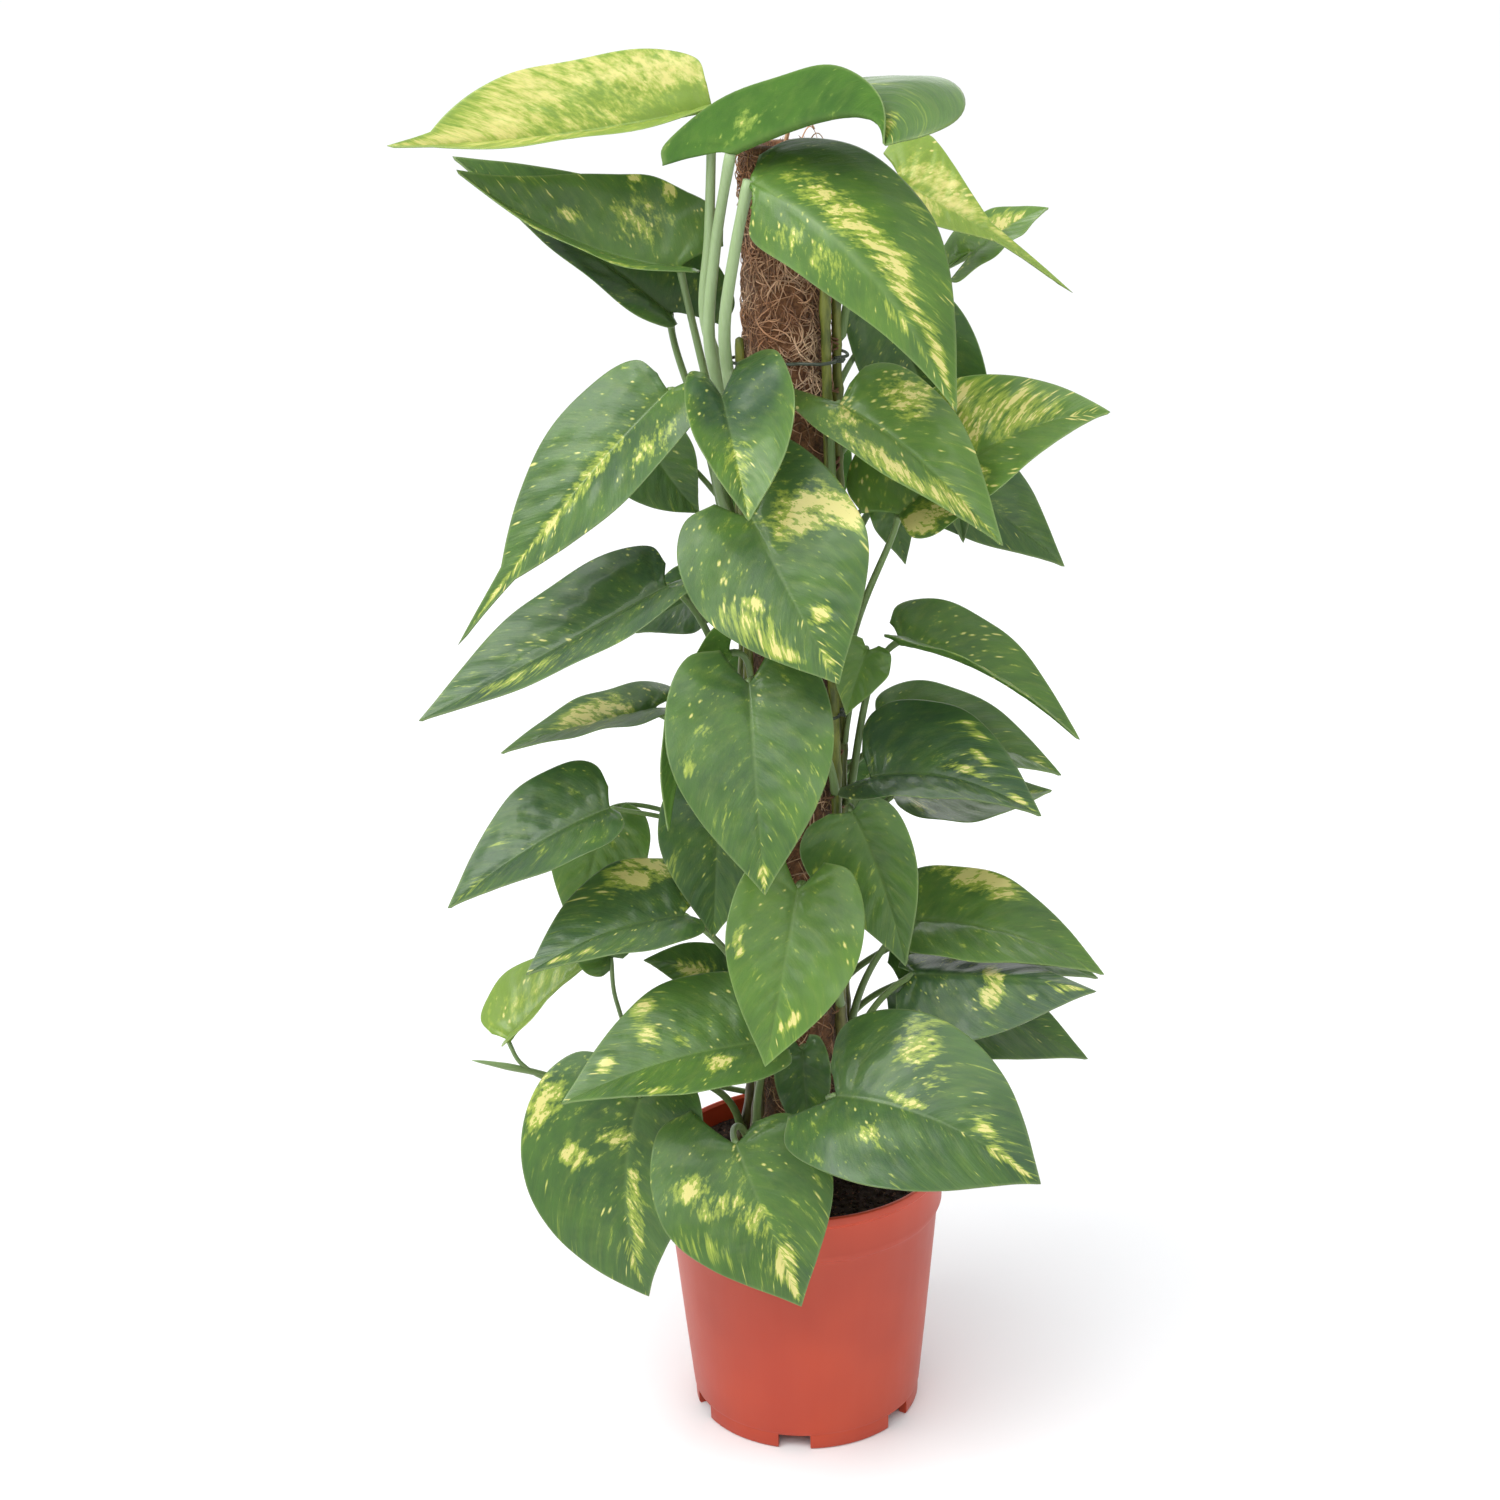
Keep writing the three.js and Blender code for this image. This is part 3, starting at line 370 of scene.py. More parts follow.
def tube(points, radii, sides, start=0):
    """A tube round a line of points: its own points and faces, closed at both ends."""
    path = np.asarray(points, float)
    along = np.gradient(path, axis=0)
    along /= np.linalg.norm(along, axis=1)[:, None]
    side = np.array([1.0, 0, 0]) if abs(along[0][0]) < 0.8 else np.array([0, 1.0, 0])
    turns = np.linspace(0, 2 * math.pi, sides, endpoint=False)
    rings = []
    for at, heading, radius in zip(path, along, radii):
        side = side - heading * (side @ heading)
        side /= np.linalg.norm(side)
        up = np.cross(heading, side)
        rings.append(at + radius * (np.outer(np.cos(turns), side) + np.outer(np.sin(turns), up)))
    faces = []
    for i in range(len(path) - 1):
        for k in range(sides):
            a, b = start + i * sides + k, start + i * sides + (k + 1) % sides
            faces.append((a, b, b + sides, a + sides))
    last = start + (len(path) - 1) * sides
    faces.append(tuple(range(start, start + sides))[::-1])
    faces.append(tuple(range(last, last + sides)))
    return np.concatenate(rings).tolist(), faces


coir_points = []
for row in range(felt_rows + 1):
    z = coir_bottom + (coir_top - coir_bottom) * row / felt_rows
    for k in range(felt_sides):
        turn = 2 * math.pi * k / felt_sides
        radius = felt_radius(turn, z)
        coir_points.append((radius * math.cos(turn), radius * math.sin(turn), z))
for radius, z in ((15.5, coir_top + 1.2), (10.3, coir_top + 0.6), (10.3, coir_bottom)):
    coir_points += [(radius * math.cos(2 * math.pi * k / felt_sides),
                     radius * math.sin(2 * math.pi * k / felt_sides), z) for k in range(felt_sides)]
coir_faces = []
for row in range(felt_rows + 4):
    low, high = row * felt_sides, ((row + 1) % (felt_rows + 4)) * felt_sides
    for k in range(felt_sides):
        step = (k + 1) % felt_sides
        coir_faces.append((low + k, low + step, high + step, high + k))


def fibre(turn, z, length, lift, heading, curl):
    """A strand that leaves the felt, arches over it and goes back in, curling as it goes."""
    line = []
    for i in range(fibre_steps):
        share = i / (fibre_steps - 1)
        bend = heading + curl * (share - 0.5)
        out = felt_radius(turn, z) - 0.5 + lift * math.sin(math.pi * min(share * 1.15, 1))
        line.append((out * math.cos(turn), out * math.sin(turn), z))
        turn += math.cos(bend) * length / fibre_steps / coir_radius
        z += math.sin(bend) * length / fibre_steps
    return line


coir_shades = [0.0] * len(coir_points)
for _ in range(fibre_count):
    # More of them stand out near the top, where no leaf rubs the pole.
    z = rng.uniform(bare_from if rng.random() < bare_share else coir_bottom + 66, coir_top - 2)
    length = rng.uniform(*fibre_lengths)
    tip_room = coir_top + 3 - z
    heading = rng.normal(1.57, 0.7) if rng.random() < 0.65 else rng.uniform(-3.1, 3.1)
    length = min(length, max(tip_room, 6)) if math.sin(heading) > 0 else length
    line = fibre(rng.uniform(0, 2 * math.pi), z, length, rng.uniform(*fibre_lifts), heading,
                 rng.normal(0, 1.5))
    size = fibre_radius * rng.uniform(0.55, 1.4)
    points, faces = tube(line, [size] * (fibre_steps - 1) + [size * 0.4], 3, len(coir_points))
    coir_points += points
    coir_faces += faces
    coir_shades += [rng.uniform(0.1, 1.0)] * len(points)
# The long curled strands at the top: (foot, middle, end), the thickest one first.
top_strands = [((1, 2, 662), (7, 0, 678), (15, -2, 671)), ((-6, -8, 662), (-9, -12, 672), (-15, -14, 668)),
               ((8, 9, 662), (13, 12, 671), (17, 16, 664)), ((-3, 12, 662), (-8, 17, 671), (-4, 21, 665)),
               ((11, -6, 662), (16, -10, 670), (21, -8, 661)), ((-12, 5, 662), (-18, 6, 669), (-22, 9, 660))]
for rank, (foot, middle, end) in enumerate(top_strands):
    foot, middle, end = (np.array(point, float) for point in (foot, middle, end))
    line = [(1 - s) ** 2 * foot + 2 * s * (1 - s) * (2 * middle - (foot + end) / 2) + s * s * end
            for s in np.linspace(0, 1, 10)]
    size = 1.1 if rank == 0 else 0.4
    points, faces = tube(line, np.linspace(size, size * 0.4, 10), 6, len(coir_points))
    coir_points += points
    coir_faces += faces
    coir_shades += [1.0] * len(points)

coir_fibre = new_material("coir_fibre", Roughness=0.9, Specular_IOR_Level=0.2, Sheen_Weight=0.25)
place = position(coir_fibre)
tangle = noise(coir_fibre, place, 420.0, 6.0, 0.7)
patches = noise(coir_fibre, place, 45.0, 2.0)
shade = node(coir_fibre, "Attribute", attribute_name="shade").outputs["Fac"]
felt = blended(coir_fibre, between(coir_fibre, tangle, 0.3, 0.7), colour(70, 43, 26), colour(132, 91, 60))
light = between(coir_fibre, patches, 0.3, 0.7)
strand = blended(coir_fibre, light, colour(192, 138, 98), colour(246, 208, 170))
coconut = blended(coir_fibre, shade, felt, strand)
feed(coir_fibre, "Base Color", coconut)
feed(coir_fibre, "Normal", relief(coir_fibre, tangle, 0.0006))
coir = piece("coir_pole", coir_points, coir_faces, [coir_fibre], "coir_fibre", "pole_coir")
shades = coir.data.attributes.new("shade", "FLOAT", "POINT")
shades.data.foreach_set("value", coir_shades)


# Six vines climb the pole from the soil. A vine is a smooth olive stem as thick as a pencil, with
# a scarred ring at each leaf, from which short brown roots feel their way into the coir.
pole_reach = 24.2
join_height = 200
root_depth = 96
stem_radius = 2.8
knuckle = 0.8
knuckle_spacing = 46
vines = {
    "front_left": dict(angle=208, wind=-6, foot=37, top=575),
    "left": dict(angle=176, wind=4, foot=42, top=525),
    "back_left": dict(angle=130, wind=8, foot=40, top=505),
    "back": dict(angle=64, wind=4, foot=44, top=575),
    "right": dict(angle=12, wind=-6, foot=43, top=620),
    "front_right": dict(angle=332, wind=-16, foot=38, top=612),
}
rng = np.random.default_rng(23)


def smooth_step(value, low, high):
    share = min(max((value - low) / (high - low), 0), 1)
    return share * share * (3 - 2 * share)


def vine_point(vine, z):
    radius = vine["foot"] + (pole_reach - vine["foot"]) * smooth_step(z, root_depth, join_height)
    climbed = max(z - join_height, 0) / (coir_top - join_height)
    turn = math.radians(vine["angle"] + vine["wind"] * climbed)
    return np.array([radius * math.cos(turn), radius * math.sin(turn), z])


def vine_radius(vine, z):
    swell = max(math.cos((z - vine["foot"]) / knuckle_spacing * 2 * math.pi), 0) ** 4
    taper = 1 - 0.2 * (z - root_depth) / (vine["top"] - root_depth)
    return (stem_radius + knuckle * swell) * taper


vine_stem = new_material("vine_stem", Roughness=0.45)
place = position(vine_stem)
height = node(vine_stem, "SeparateXYZ", {"Vector": place}).outputs["Z"]
mottle = noise(vine_stem, position(vine_stem, (1, 1, 0.25)), 240.0, 4.0, 0.6)
green = blended(vine_stem, between(vine_stem, mottle, 0.35, 0.65), colour(80, 92, 34), colour(130, 136, 58))
woody = blended(vine_stem, between(vine_stem, mottle, 0.4, 0.6), colour(70, 62, 34), colour(98, 92, 50))
age = reckon(vine_stem, "ADD", height, reckon(vine_stem, "MULTIPLY", mottle, 0.12))
stem_colour = blended(vine_stem, between(vine_stem, age, 0.24, 0.40), woody, green)
feed(vine_stem, "Base Color", stem_colour)
feed(vine_stem, "Normal", relief(vine_stem, mottle, 0.0003))
air_root = new_material("air_root", Roughness=0.8)
root_mottle = noise(air_root, position(air_root), 500.0, 3.0)
feed(air_root, "Base Color", blended(air_root, root_mottle, colour(78, 52, 34), colour(140, 104, 70)))
feed(air_root, "Normal", relief(air_root, root_mottle, 0.0003))

vine_leaf_heights = {
    "front_left": (548, 530, 512, 480, 366, 300, 170, 148),
    "left": (505, 482, 455, 374, 300, 232, 160),
    "back_left": (465, 404, 345, 320, 285, 205, 185, 167),
    "back": (536, 440, 415, 325, 290, 262, 212, 185),
    "right": (575, 552, 520, 455, 412, 372, 340, 215, 190),
    "front_right": (478, 440, 352, 318, 280, 236, 180, 150),
}
for name, vine in vines.items():
    heights = np.arange(root_depth, vine["top"] + 0.1, 3.0)
    line = [vine_point(vine, z) for z in heights]
    girth = []
    for z in heights:
        ring = sum(math.exp(-((z - at + 4) / 2.2) ** 2) for at in vine_leaf_heights[name])
        girth.append(vine_radius(vine, z) + 0.45 * min(ring, 1))
    for lift, share in ((1.2, 0.85), (2.0, 0.5), (2.4, 0.1)):
        line.append(vine_point(vine, vine["top"] + lift))
        girth.append(girth[len(heights) - 1] * share)
    points, faces = tube(line, girth, 14)
    stem_faces = len(faces)
    for at in vine_leaf_heights[name]:
        for _ in range(3):
            centre = vine_point(vine, at - 5 + rng.uniform(-2, 3))
            inward = -np.array([centre[0], centre[1], 0]) / np.hypot(centre[0], centre[1])
            aside = np.array([-inward[1], inward[0], 0]) * rng.choice([-1, 1])
            droop = rng.uniform(-4, 3)
            reach = rng.uniform(3.5, 7.5)
            root = [centre + aside * 1.5, centre + aside * (3.4 + 0.3 * reach) + (0, 0, droop * 0.4),
                    centre + aside * (3.2 + 0.5 * reach) + inward * reach * 0.75 + (0, 0, droop)]
            bend = [(1 - s) ** 2 * root[0] + 2 * s * (1 - s) * root[1] + s * s * root[2]
                    for s in np.linspace(0, 1, 7)]
            root_points, root_faces = tube(bend, np.linspace(0.85, 0.35, 7), 6, len(points))
            points += root_points
            faces += root_faces
    stem = piece(f"{name}_vine", points, faces, [vine_stem, air_root], "stem", f"vine_{name}")
    kinds = [0] * stem_faces + [1] * (len(faces) - stem_faces)
    stem.data.polygons.foreach_set("material_index", kinds)


# Two loops of thin green garden wire hold the vines to the pole. Each is bent round by hand and
# closed with a short twist, whose cut ends stand off at the front right.
wire_radius = 0.8
wire_start = -20
wire_opening = 20
wire_steps = 96
wire_clearance = 1.3
bare_reach = 20.3
tail_length = 5.0
tail_turns = 2
strand_gap = 0.75
garden_wire = new_material("garden_wire", Roughness=0.4)
sleeve = noise(garden_wire, position(garden_wire), 700.0, 2.0)
feed(garden_wire, "Base Color", blended(garden_wire, sleeve, colour(46, 54, 42), colour(82, 92, 78)))
feed(garden_wire, "Normal", relief(garden_wire, sleeve, 0.0001))


def wire_reach(angle, height):
    """How far out the wire runs at an angle, to pass outside the vines."""
    turn = math.radians(angle)
    outward = np.array([math.cos(turn), math.sin(turn)])
    reach = stem_radius + knuckle + wire_clearance
    radius = bare_reach + wire_clearance
    for vine in vines.values():
        if vine["top"] < height:
            continue
        stem = vine_point(vine, height)
        offset = abs(outward[0] * stem[1] - outward[1] * stem[0])
        ahead = outward[0] * stem[0] + outward[1] * stem[1]
        if ahead > 0 and offset < reach:
            radius = max(radius, ahead + math.sqrt(reach * reach - offset * offset))
    return radius


for number, height in ((1, 391), (2, 566)):
    angles = np.linspace(wire_start, wire_start + 360 - wire_opening, wire_steps)
    reaches = np.array([wire_reach(angle, height) for angle in angles])
    padded = np.pad(reaches, 4, mode="edge")
    reaches = np.array([padded[i:i + 9].max() for i in range(wire_steps)])
    reaches = np.convolve(np.pad(reaches, 2, mode="edge"), np.ones(5) / 5, "valid")
    turns = np.radians(angles)
    loop = np.stack([reaches * np.cos(turns), reaches * np.sin(turns), np.full(wire_steps, height)], 1)
    meet = math.radians(wire_start - wire_opening / 2)
    outward = np.array([math.cos(meet), math.sin(meet), 0])
    side = np.array([-math.sin(meet), math.cos(meet), 0])
    knot = outward * (reaches[0] + 1.5) + (0, 0, height)
    points, faces = tube(loop, [wire_radius] * wire_steps, 10)
    for strand, loop_end in ((0, loop[0]), (1, loop[-1])):
        tail = [loop_end, (loop_end + knot) / 2 + outward * 0.4]
        for s in np.linspace(0, 1, 22):
            spin = s * tail_turns * 2 * math.pi + strand * math.pi
            apart = strand_gap + 1.6 * max(s - 0.75, 0)
            tail.append(knot + outward * (tail_length * s) + side * apart * math.cos(spin)
                        + np.array([0, 0, apart * math.sin(spin) + (1 - 2 * strand) * 3.0 * max(s - 0.7, 0)]))
        tail_points, tail_faces = tube(tail, [wire_radius * 0.9] * len(tail), 8, len(points))
        points += tail_points
        faces += tail_faces
    piece(f"wire_tie_{number}", points, faces, [garden_wire], "coated_wire", f"tie_{number}")


# A leaf is one waxy blade on a channelled stalk. The blade is a pointed heart, folded along its
# midrib, quilted between its side veins, thin at the margin and stiffened below by the rib. The
# leaves are grown one by one: every vine's section gives its own leaves and their markings.
blade_thickness = 0.8
cross_rows = np.array([  # start on the midrib, end along the leaf, end across it, share of the lobe
    (0.0, 0.0, 0.3, 0.92), (0.04, 0.01, 0.68, 0.8), (0.12, 0.09, 0.93, 0.3), (0.24, 0.24, 1.0, 0.0),
    (0.38, 0.42, 0.92, 0.0), (0.53, 0.6, 0.7, 0.0), (0.68, 0.76, 0.43, 0.0), (0.84, 0.9, 0.17, 0.0),
    (1.0, 1.0, 0.0, 0.0)])
half_columns = np.array([0, 0.03, 0.09, 0.17, 0.26, 0.36, 0.46, 0.56, 0.66, 0.76, 0.85, 0.93, 0.98, 1.0])
blade_rows = 57
vein_arch = 1.3
vein_slant = 0.55
veins_a_side = 9.5
stalk_radius = 2.1
stalk_taper = 0.72
stalk_sides = 12
stalk_steps = 26
lobe_length = 0.16
lobe_swell = 2.2
quilt_height = 0.5
rib_groove = 0.6
rib_depth = 1.1
vein_depth = 0.3
tip_thickness = 0.35
mark_slant = 0.45
mark_slant_at_tip = 2.2
stalk_paleness = 0.25
spear_steps = 14
grown = []

# What a leaf states: at, the height of its ring; base and tip, where its blade starts and ends; up,
# the way it faces; bow, how far its middle stands off; half, fold, curl, belly and lobe, the width,
# angle, roll, fullness and lobe of its left and right halves; twist, its turn from base to tip; drip,
# how far its tip is drawn out; swell, how its lobes rise; stalk, via and pale, the stalk's radius,
# points on its way and paleness; sprout, where the rolled young leaf beside it ends. Its colours
# are tone, how light its green is; throat_shade, a painted shade that darkens that green at the
# stalk, where a furled leaf's throat lies in shadow; flecks, how many markings it has; and cream,
# its patches, each given by its place along and across, its length and width, and its strength.


def eased(places):
    """Values between the cross rows, on a smooth curve through them."""
    low = np.clip(places.astype(int), 0, len(cross_rows) - 2)
    t = (places - low)[:, None]
    ends = [2 * cross_rows[0] - cross_rows[1]], [2 * cross_rows[-1] - cross_rows[-2]]
    run = np.vstack([ends[0], cross_rows, ends[1]])
    a, b, c, d = (run[low + k] for k in range(4))
    return 0.5 * (2 * b + (c - a) * t + (2 * a - 5 * b + 4 * c - d) * t ** 2
                  + (3 * b - a - 3 * c + d) * t ** 3)


def unit(vectors):
    return vectors / np.linalg.norm(vectors, axis=-1, keepdims=True)


def blade(leaf, phase):
    """The blade's upper and lower points on a net, with how each point is to be coloured."""
    base, tip, up, bow = (np.array(leaf[key], float) for key in ("base", "tip", "up", "bow"))
    chord = tip - base
    length = np.linalg.norm(chord)
    lobes = np.ravel(leaf.get("lobe", lobe_length))
    bellies = np.ravel(leaf.get("belly", 0))
    curls = leaf.get("curl", (0, 0))
    across = np.concatenate([half_columns[:0:-1], half_columns])
    side = np.concatenate([np.ones(len(half_columns) - 1), -np.ones(len(half_columns))])
    place = np.linspace(0, 8, blade_rows)
    mid, margin, width, lobe = eased(place).T
    width = np.maximum(width, 0)
    shrink = np.where(place < 7.999, 1 - leaf.get("drip", 0) * (1 - np.clip(place - 7, 0, 1)), 1)
    lobe_here = np.where(side > 0, lobes[0], lobes[-1])
    belly_here = np.where(side > 0, bellies[0], bellies[-1])
    edge = margin[:, None] + belly_here * np.sin(np.pi * margin)[:, None] - lobe[:, None] * lobe_here
    along = (mid[:, None] + (edge - mid[:, None]) * across ** vein_arch) * shrink[:, None]
    v = np.clip(along, 0, 1)
    spine = (base + chord * along[..., None]
             + bow * (4 * along * (1 - np.maximum(along, 0)))[..., None])
    heading = unit(chord + bow * (4 * (1 - 2 * v))[..., None])
    normal = unit(up - heading * (heading @ up)[..., None])
    twist = np.radians(leaf.get("twist", 0)) * v[..., None]
    normal = normal * np.cos(twist) + np.cross(heading, normal) * np.sin(twist)
    left = np.cross(normal, heading)
    half = np.where(side > 0, leaf["half"][0], leaf["half"][1])
    fold = np.radians(np.where(side > 0, leaf["fold"][0], leaf["fold"][1]))
    bend = np.radians(np.where(side > 0, curls[0], curls[1])) / half + 1e-6
    reach = width[:, None] * across * half
    out = (np.sin(fold + bend * reach) - np.sin(fold)) / bend
    rise = (np.cos(fold) - np.cos(fold + bend * reach)) / bend
    share = reach / half
    wave = share ** 2 * np.sin(2 * np.pi * (2.3 * along + phase + side * 0.2))

    # The side veins slant to the tip. They are shallow furrows above, and the leaf swells softly
    # between them.
    slant = vein_slant * reach * np.clip(place / 3, 0, 1)[:, None]
    vein_start = place[:, None] / 8 * length - slant
    furrow = 0.5 + 0.5 * np.cos(2 * np.pi * (vein_start / length * veins_a_side + 0.35 * (side > 0)))
    fade = np.clip(across * 6, 0, 1) * np.clip((1 - across) * 3, 0, 1) * np.clip(width * 2.5, 0, 1)[:, None]
    fade = fade * np.clip(length / 90, 0.3, 1)
    quilt = fade * quilt_height * (1 - furrow ** 2 + ripple(reach / 11 + phase * 9, along * 6))
    swell = np.sin(np.pi * np.clip(share, 0, 1)) * np.exp(-(along / 0.14) ** 2)
    swell = leaf.get("swell", lobe_swell) * swell
    rib = np.exp(-(reach / 1.1) ** 2) * np.clip(1.15 - along, 0, 1) ** 0.7
    rib = rib * np.clip(length / 90, 0.3, 1)
    height = rise + wave + quilt + swell - rib_groove * rib
    top = spine + left * (side * out)[..., None] + normal * height[..., None]

    # The lower face follows at the blade's thickness, thin at the margin and thick under the rib.
    down = np.cross(np.gradient(top, axis=0), np.gradient(top, axis=1))
    down[-1] = down[-2]
    down = unit(down + 1e-12)
    down *= -np.sign((down * normal).sum(-1, keepdims=True))
    depth = blade_thickness * (1 - 0.6 * share ** 2) + rib_depth * rib + vein_depth * furrow * fade
    depth[-1] = tip_thickness
    under = top + down * depth[..., None]

    # The markings lean to the tip, the more so the nearer they are to it.
    mark_start = along * length - (mark_slant + mark_slant_at_tip * along ** 2) * reach
    cream = np.zeros_like(along)
    for spot_along, spot_across, long, wide, strength in leaf.get("cream", ()):
        off = ((along - spot_along) / long) ** 2 + ((side * across - spot_across) / wide) ** 2
        cream = np.maximum(cream, strength * np.exp(-off ** 2))
    # Painted shade: the tone is lowered near the stalk, where a furled leaf's throat lies in shadow.
    shade = leaf.get("throat_shade", 0) * np.exp(-((along - 0.12) / 0.26) ** 2) * (1 - share ** 2)
    edge_distance = (1 - across) * width[:, None] * half
    facts = {
        "growth": np.stack([side * reach * 1.25, mark_start * 0.8, 0 * along + phase * 100], -1),
        "marks_and_shade": np.stack([0 * along + leaf["flecks"], cream, leaf["tone"] - shade], -1),
        "veins": np.stack([rib, furrow ** 4 * fade, np.clip(1 - edge_distance / 0.7, 0, 1)], -1),
    }
    return top, under, facts


def stalk_line(leaf, vine):
    """The stalk leaves its vine sideways, climbs, and comes to the blade from below and behind."""
    stem = vine_point(vine, leaf["at"])
    stem_girth = vine_radius(vine, leaf["at"])
    base, tip, up = (np.array(leaf[key], float) for key in ("base", "tip", "up"))
    along = unit(tip - base)
    up = unit(up - along * (up @ along))
    outward = unit(stem * (1, 1, 0))
    target = np.array(leaf["via"][0], float) if "via" in leaf else base
    aim = unit((target - stem) * (1, 1, 0))
    lean = aim @ outward
    if lean < 0.35:
        aim = unit(aim + outward * (0.35 - lean))
    radius = leaf.get("stalk", stalk_radius)
    start = stem + aim * (stem_girth + 0.3 + 0.45 * radius)
    length = np.linalg.norm(base - start)
    end = base - up * 0.5
    if "via" in leaf:
        line = curve_through([start, *(np.array(point, float) for point in leaf["via"]), end])
    else:
        rise = np.array([0, 0, length * 0.4]) + aim * length * 0.08
        arrive = up * -0.22 * length + along * -0.12 * length
        s = np.linspace(0, 1, stalk_steps)[:, None]
        line = ((1 - s) ** 3 * start + 3 * s * (1 - s) ** 2 * (start + rise)
                + 3 * s ** 2 * (1 - s) * (base + arrive) + s ** 3 * end)
    foot = stem + aim * stem_girth * 0.4 - (0, 0, 1.5)
    return np.vstack([[foot], line]), up


def curve_through(points):
    """A smooth curve through the points, which doesn't overshoot where they crowd."""
    knots = [2 * points[0] - points[1], *points, 2 * points[-1] - points[-2]]
    line = []
    for s in np.linspace(0, len(points) - 1, stalk_steps):
        i = min(int(s), len(points) - 2)
        t = s - i
        a, b, c, d = knots[i:i + 4]
        gaps = [max(np.linalg.norm(q - p), 1e-3) ** 0.5 for p, q in ((a, b), (b, c), (c, d))]
        leave = ((b - a) / gaps[0] - (c - a) / (gaps[0] + gaps[1]) + (c - b) / gaps[1]) * gaps[1]
        meet = ((c - b) / gaps[1] - (d - b) / (gaps[1] + gaps[2]) + (d - c) / gaps[2]) * gaps[1]
        line.append(b + leave * t + (3 * (c - b) - 2 * leave - meet) * t ** 2
                    + (2 * (b - c) + leave + meet) * t ** 3)
    return np.array(line)


def leaf_material(name, deep, fresh, lime, cream, roughness, gloss):
    """A green that follows each leaf's own markings, which lie along its side veins."""
    material = new_material(name, Coat_Weight=gloss, Coat_Roughness=0.17, Coat_IOR=1.4,
                            Specular_IOR_Level=0.05 + 0.7 * gloss, Specular_Tint=(0.85, 1.0, 0.8, 1.0),
                            Subsurface_Weight=0.1, Subsurface_Radius=(0.003, 0.005, 0.001),
                            Subsurface_Scale=0.4)
    growth = node(material, "Attribute", attribute_name="growth").outputs["Vector"]
    marks_and_shade = node(material, "Attribute", attribute_name="marks_and_shade").outputs["Vector"]
    veins = node(material, "Attribute", attribute_name="veins").outputs["Vector"]
    fleck_share, cream_share, tone = node(material, "SeparateXYZ", {"Vector": marks_and_shade}).outputs
    rib, furrow, rim = node(material, "SeparateXYZ", {"Vector": veins}).outputs

    def strokes(length, width, detail, shift):
        """Noise drawn out along the side veins, from -0.5 to 0.5."""
        grain = node(material, "Mapping", {"Vector": growth, "Scale": (1 / length, 1 / width, 1),
                                           "Location": (shift, shift, 0)})
        return reckon(material, "SUBTRACT", noise(material, grain.outputs["Vector"], 1.0, detail, 0.6), 0.5)

    def times(value, factor):
        return reckon(material, "MULTIPLY", value, factor)

    def plus(first, second):
        return reckon(material, "ADD", first, second)

    # The ground is mottled by clouds and by faint strokes, and paler in the furrows. The tone also
    # carries the painted throat shade, which makes the green darker at the stalk.
    cloud = noise(material, position(material), 35.0, 3.0)
    broad = strokes(16.0, 8.0, 5.0, 3.0)
    middle = strokes(8.0, 3.0, 4.0, 47.0)
    short = strokes(2.8, 1.4, 5.0, 11.0)
    green_share = plus(plus(tone, spread(material, cloud, -0.42, 0.42)), times(broad, 0.7))
    green = blended(material, reckon(material, "MAXIMUM", green_share, 0.0, clamp=True), deep, fresh)
    green = blended(material, plus(times(furrow, 0.07), times(middle, 0.4)), green, lime)
    young = between(material, tone, 0.85, 1.0)
    green = blended(material, times(young, 0.4), green, lime)

    # Patches: where a leaf's own cream spots lie, strokes of three sizes fill in with ragged ends.
    # On the young yellow-green leaves they run into the green.
    ragged = plus(plus(times(broad, 0.8), times(middle, 0.8)), times(short, 0.55))
    amount = plus(times(cream_share, 0.42), ragged)
    halo = between(material, amount, spread(material, young, 0.12, 0.02), 0.34)
    patch = between(material, amount, spread(material, young, 0.34, 0.16),
                    spread(material, young, 0.38, 0.56))
    # Flecks: specks and short streaks of all sizes, thicker in some places than in others.
    crowd = reckon(material, "SUBTRACT", noise(material, growth, 0.045, 2.0), 0.5)
    cells = node(material, "Mapping", {"Vector": growth, "Scale": (1 / 7.0, 1 / 2.8, 1)}).outputs["Vector"]
    speck = node(material, "TexVoronoi", {"Vector": cells, "Scale": 1.0})
    chance = node(material, "SeparateXYZ", {"Vector": speck.outputs["Color"]}).outputs["X"]
    level = plus(plus(times(fleck_share, 0.17), times(cream_share, 0.06)), times(chance, 0.12))
    level = plus(plus(level, times(crowd, 0.6)), plus(times(short, 0.5), -0.04))
    level = reckon(material, "SUBTRACT", level, speck.outputs["Distance"])
    fleck = between(material, level, 0.0, 0.11)
    fleck_halo = between(material, level, -0.09, 0.05)
    tint = reckon(material, "MAXIMUM", times(halo, 0.9), times(fleck_halo, 0.65))
    painted = blended(material, tint, green, lime)
    painted = blended(material, reckon(material, "MAXIMUM", times(patch, 0.9), times(fleck, 0.85)),
                      painted, cream)
    painted = blended(material, times(rib, 0.16), painted, colour(150, 172, 104))
    painted = blended(material, times(rim, 0.22), painted, colour(176, 190, 130))
    feed(material, "Base Color", painted)
    feed(material, "Roughness", spread(material, cloud, roughness - 0.08, roughness + 0.08))
    skin = noise(material, growth, 1.3, 3.0, 0.6)
    wrinkles = strokes(18.0, 3.2, 2.0, 21.0)
    feed(material, "Normal", relief(material, skin, 0.0001, relief(material, wrinkles, 0.0004)))
    return material


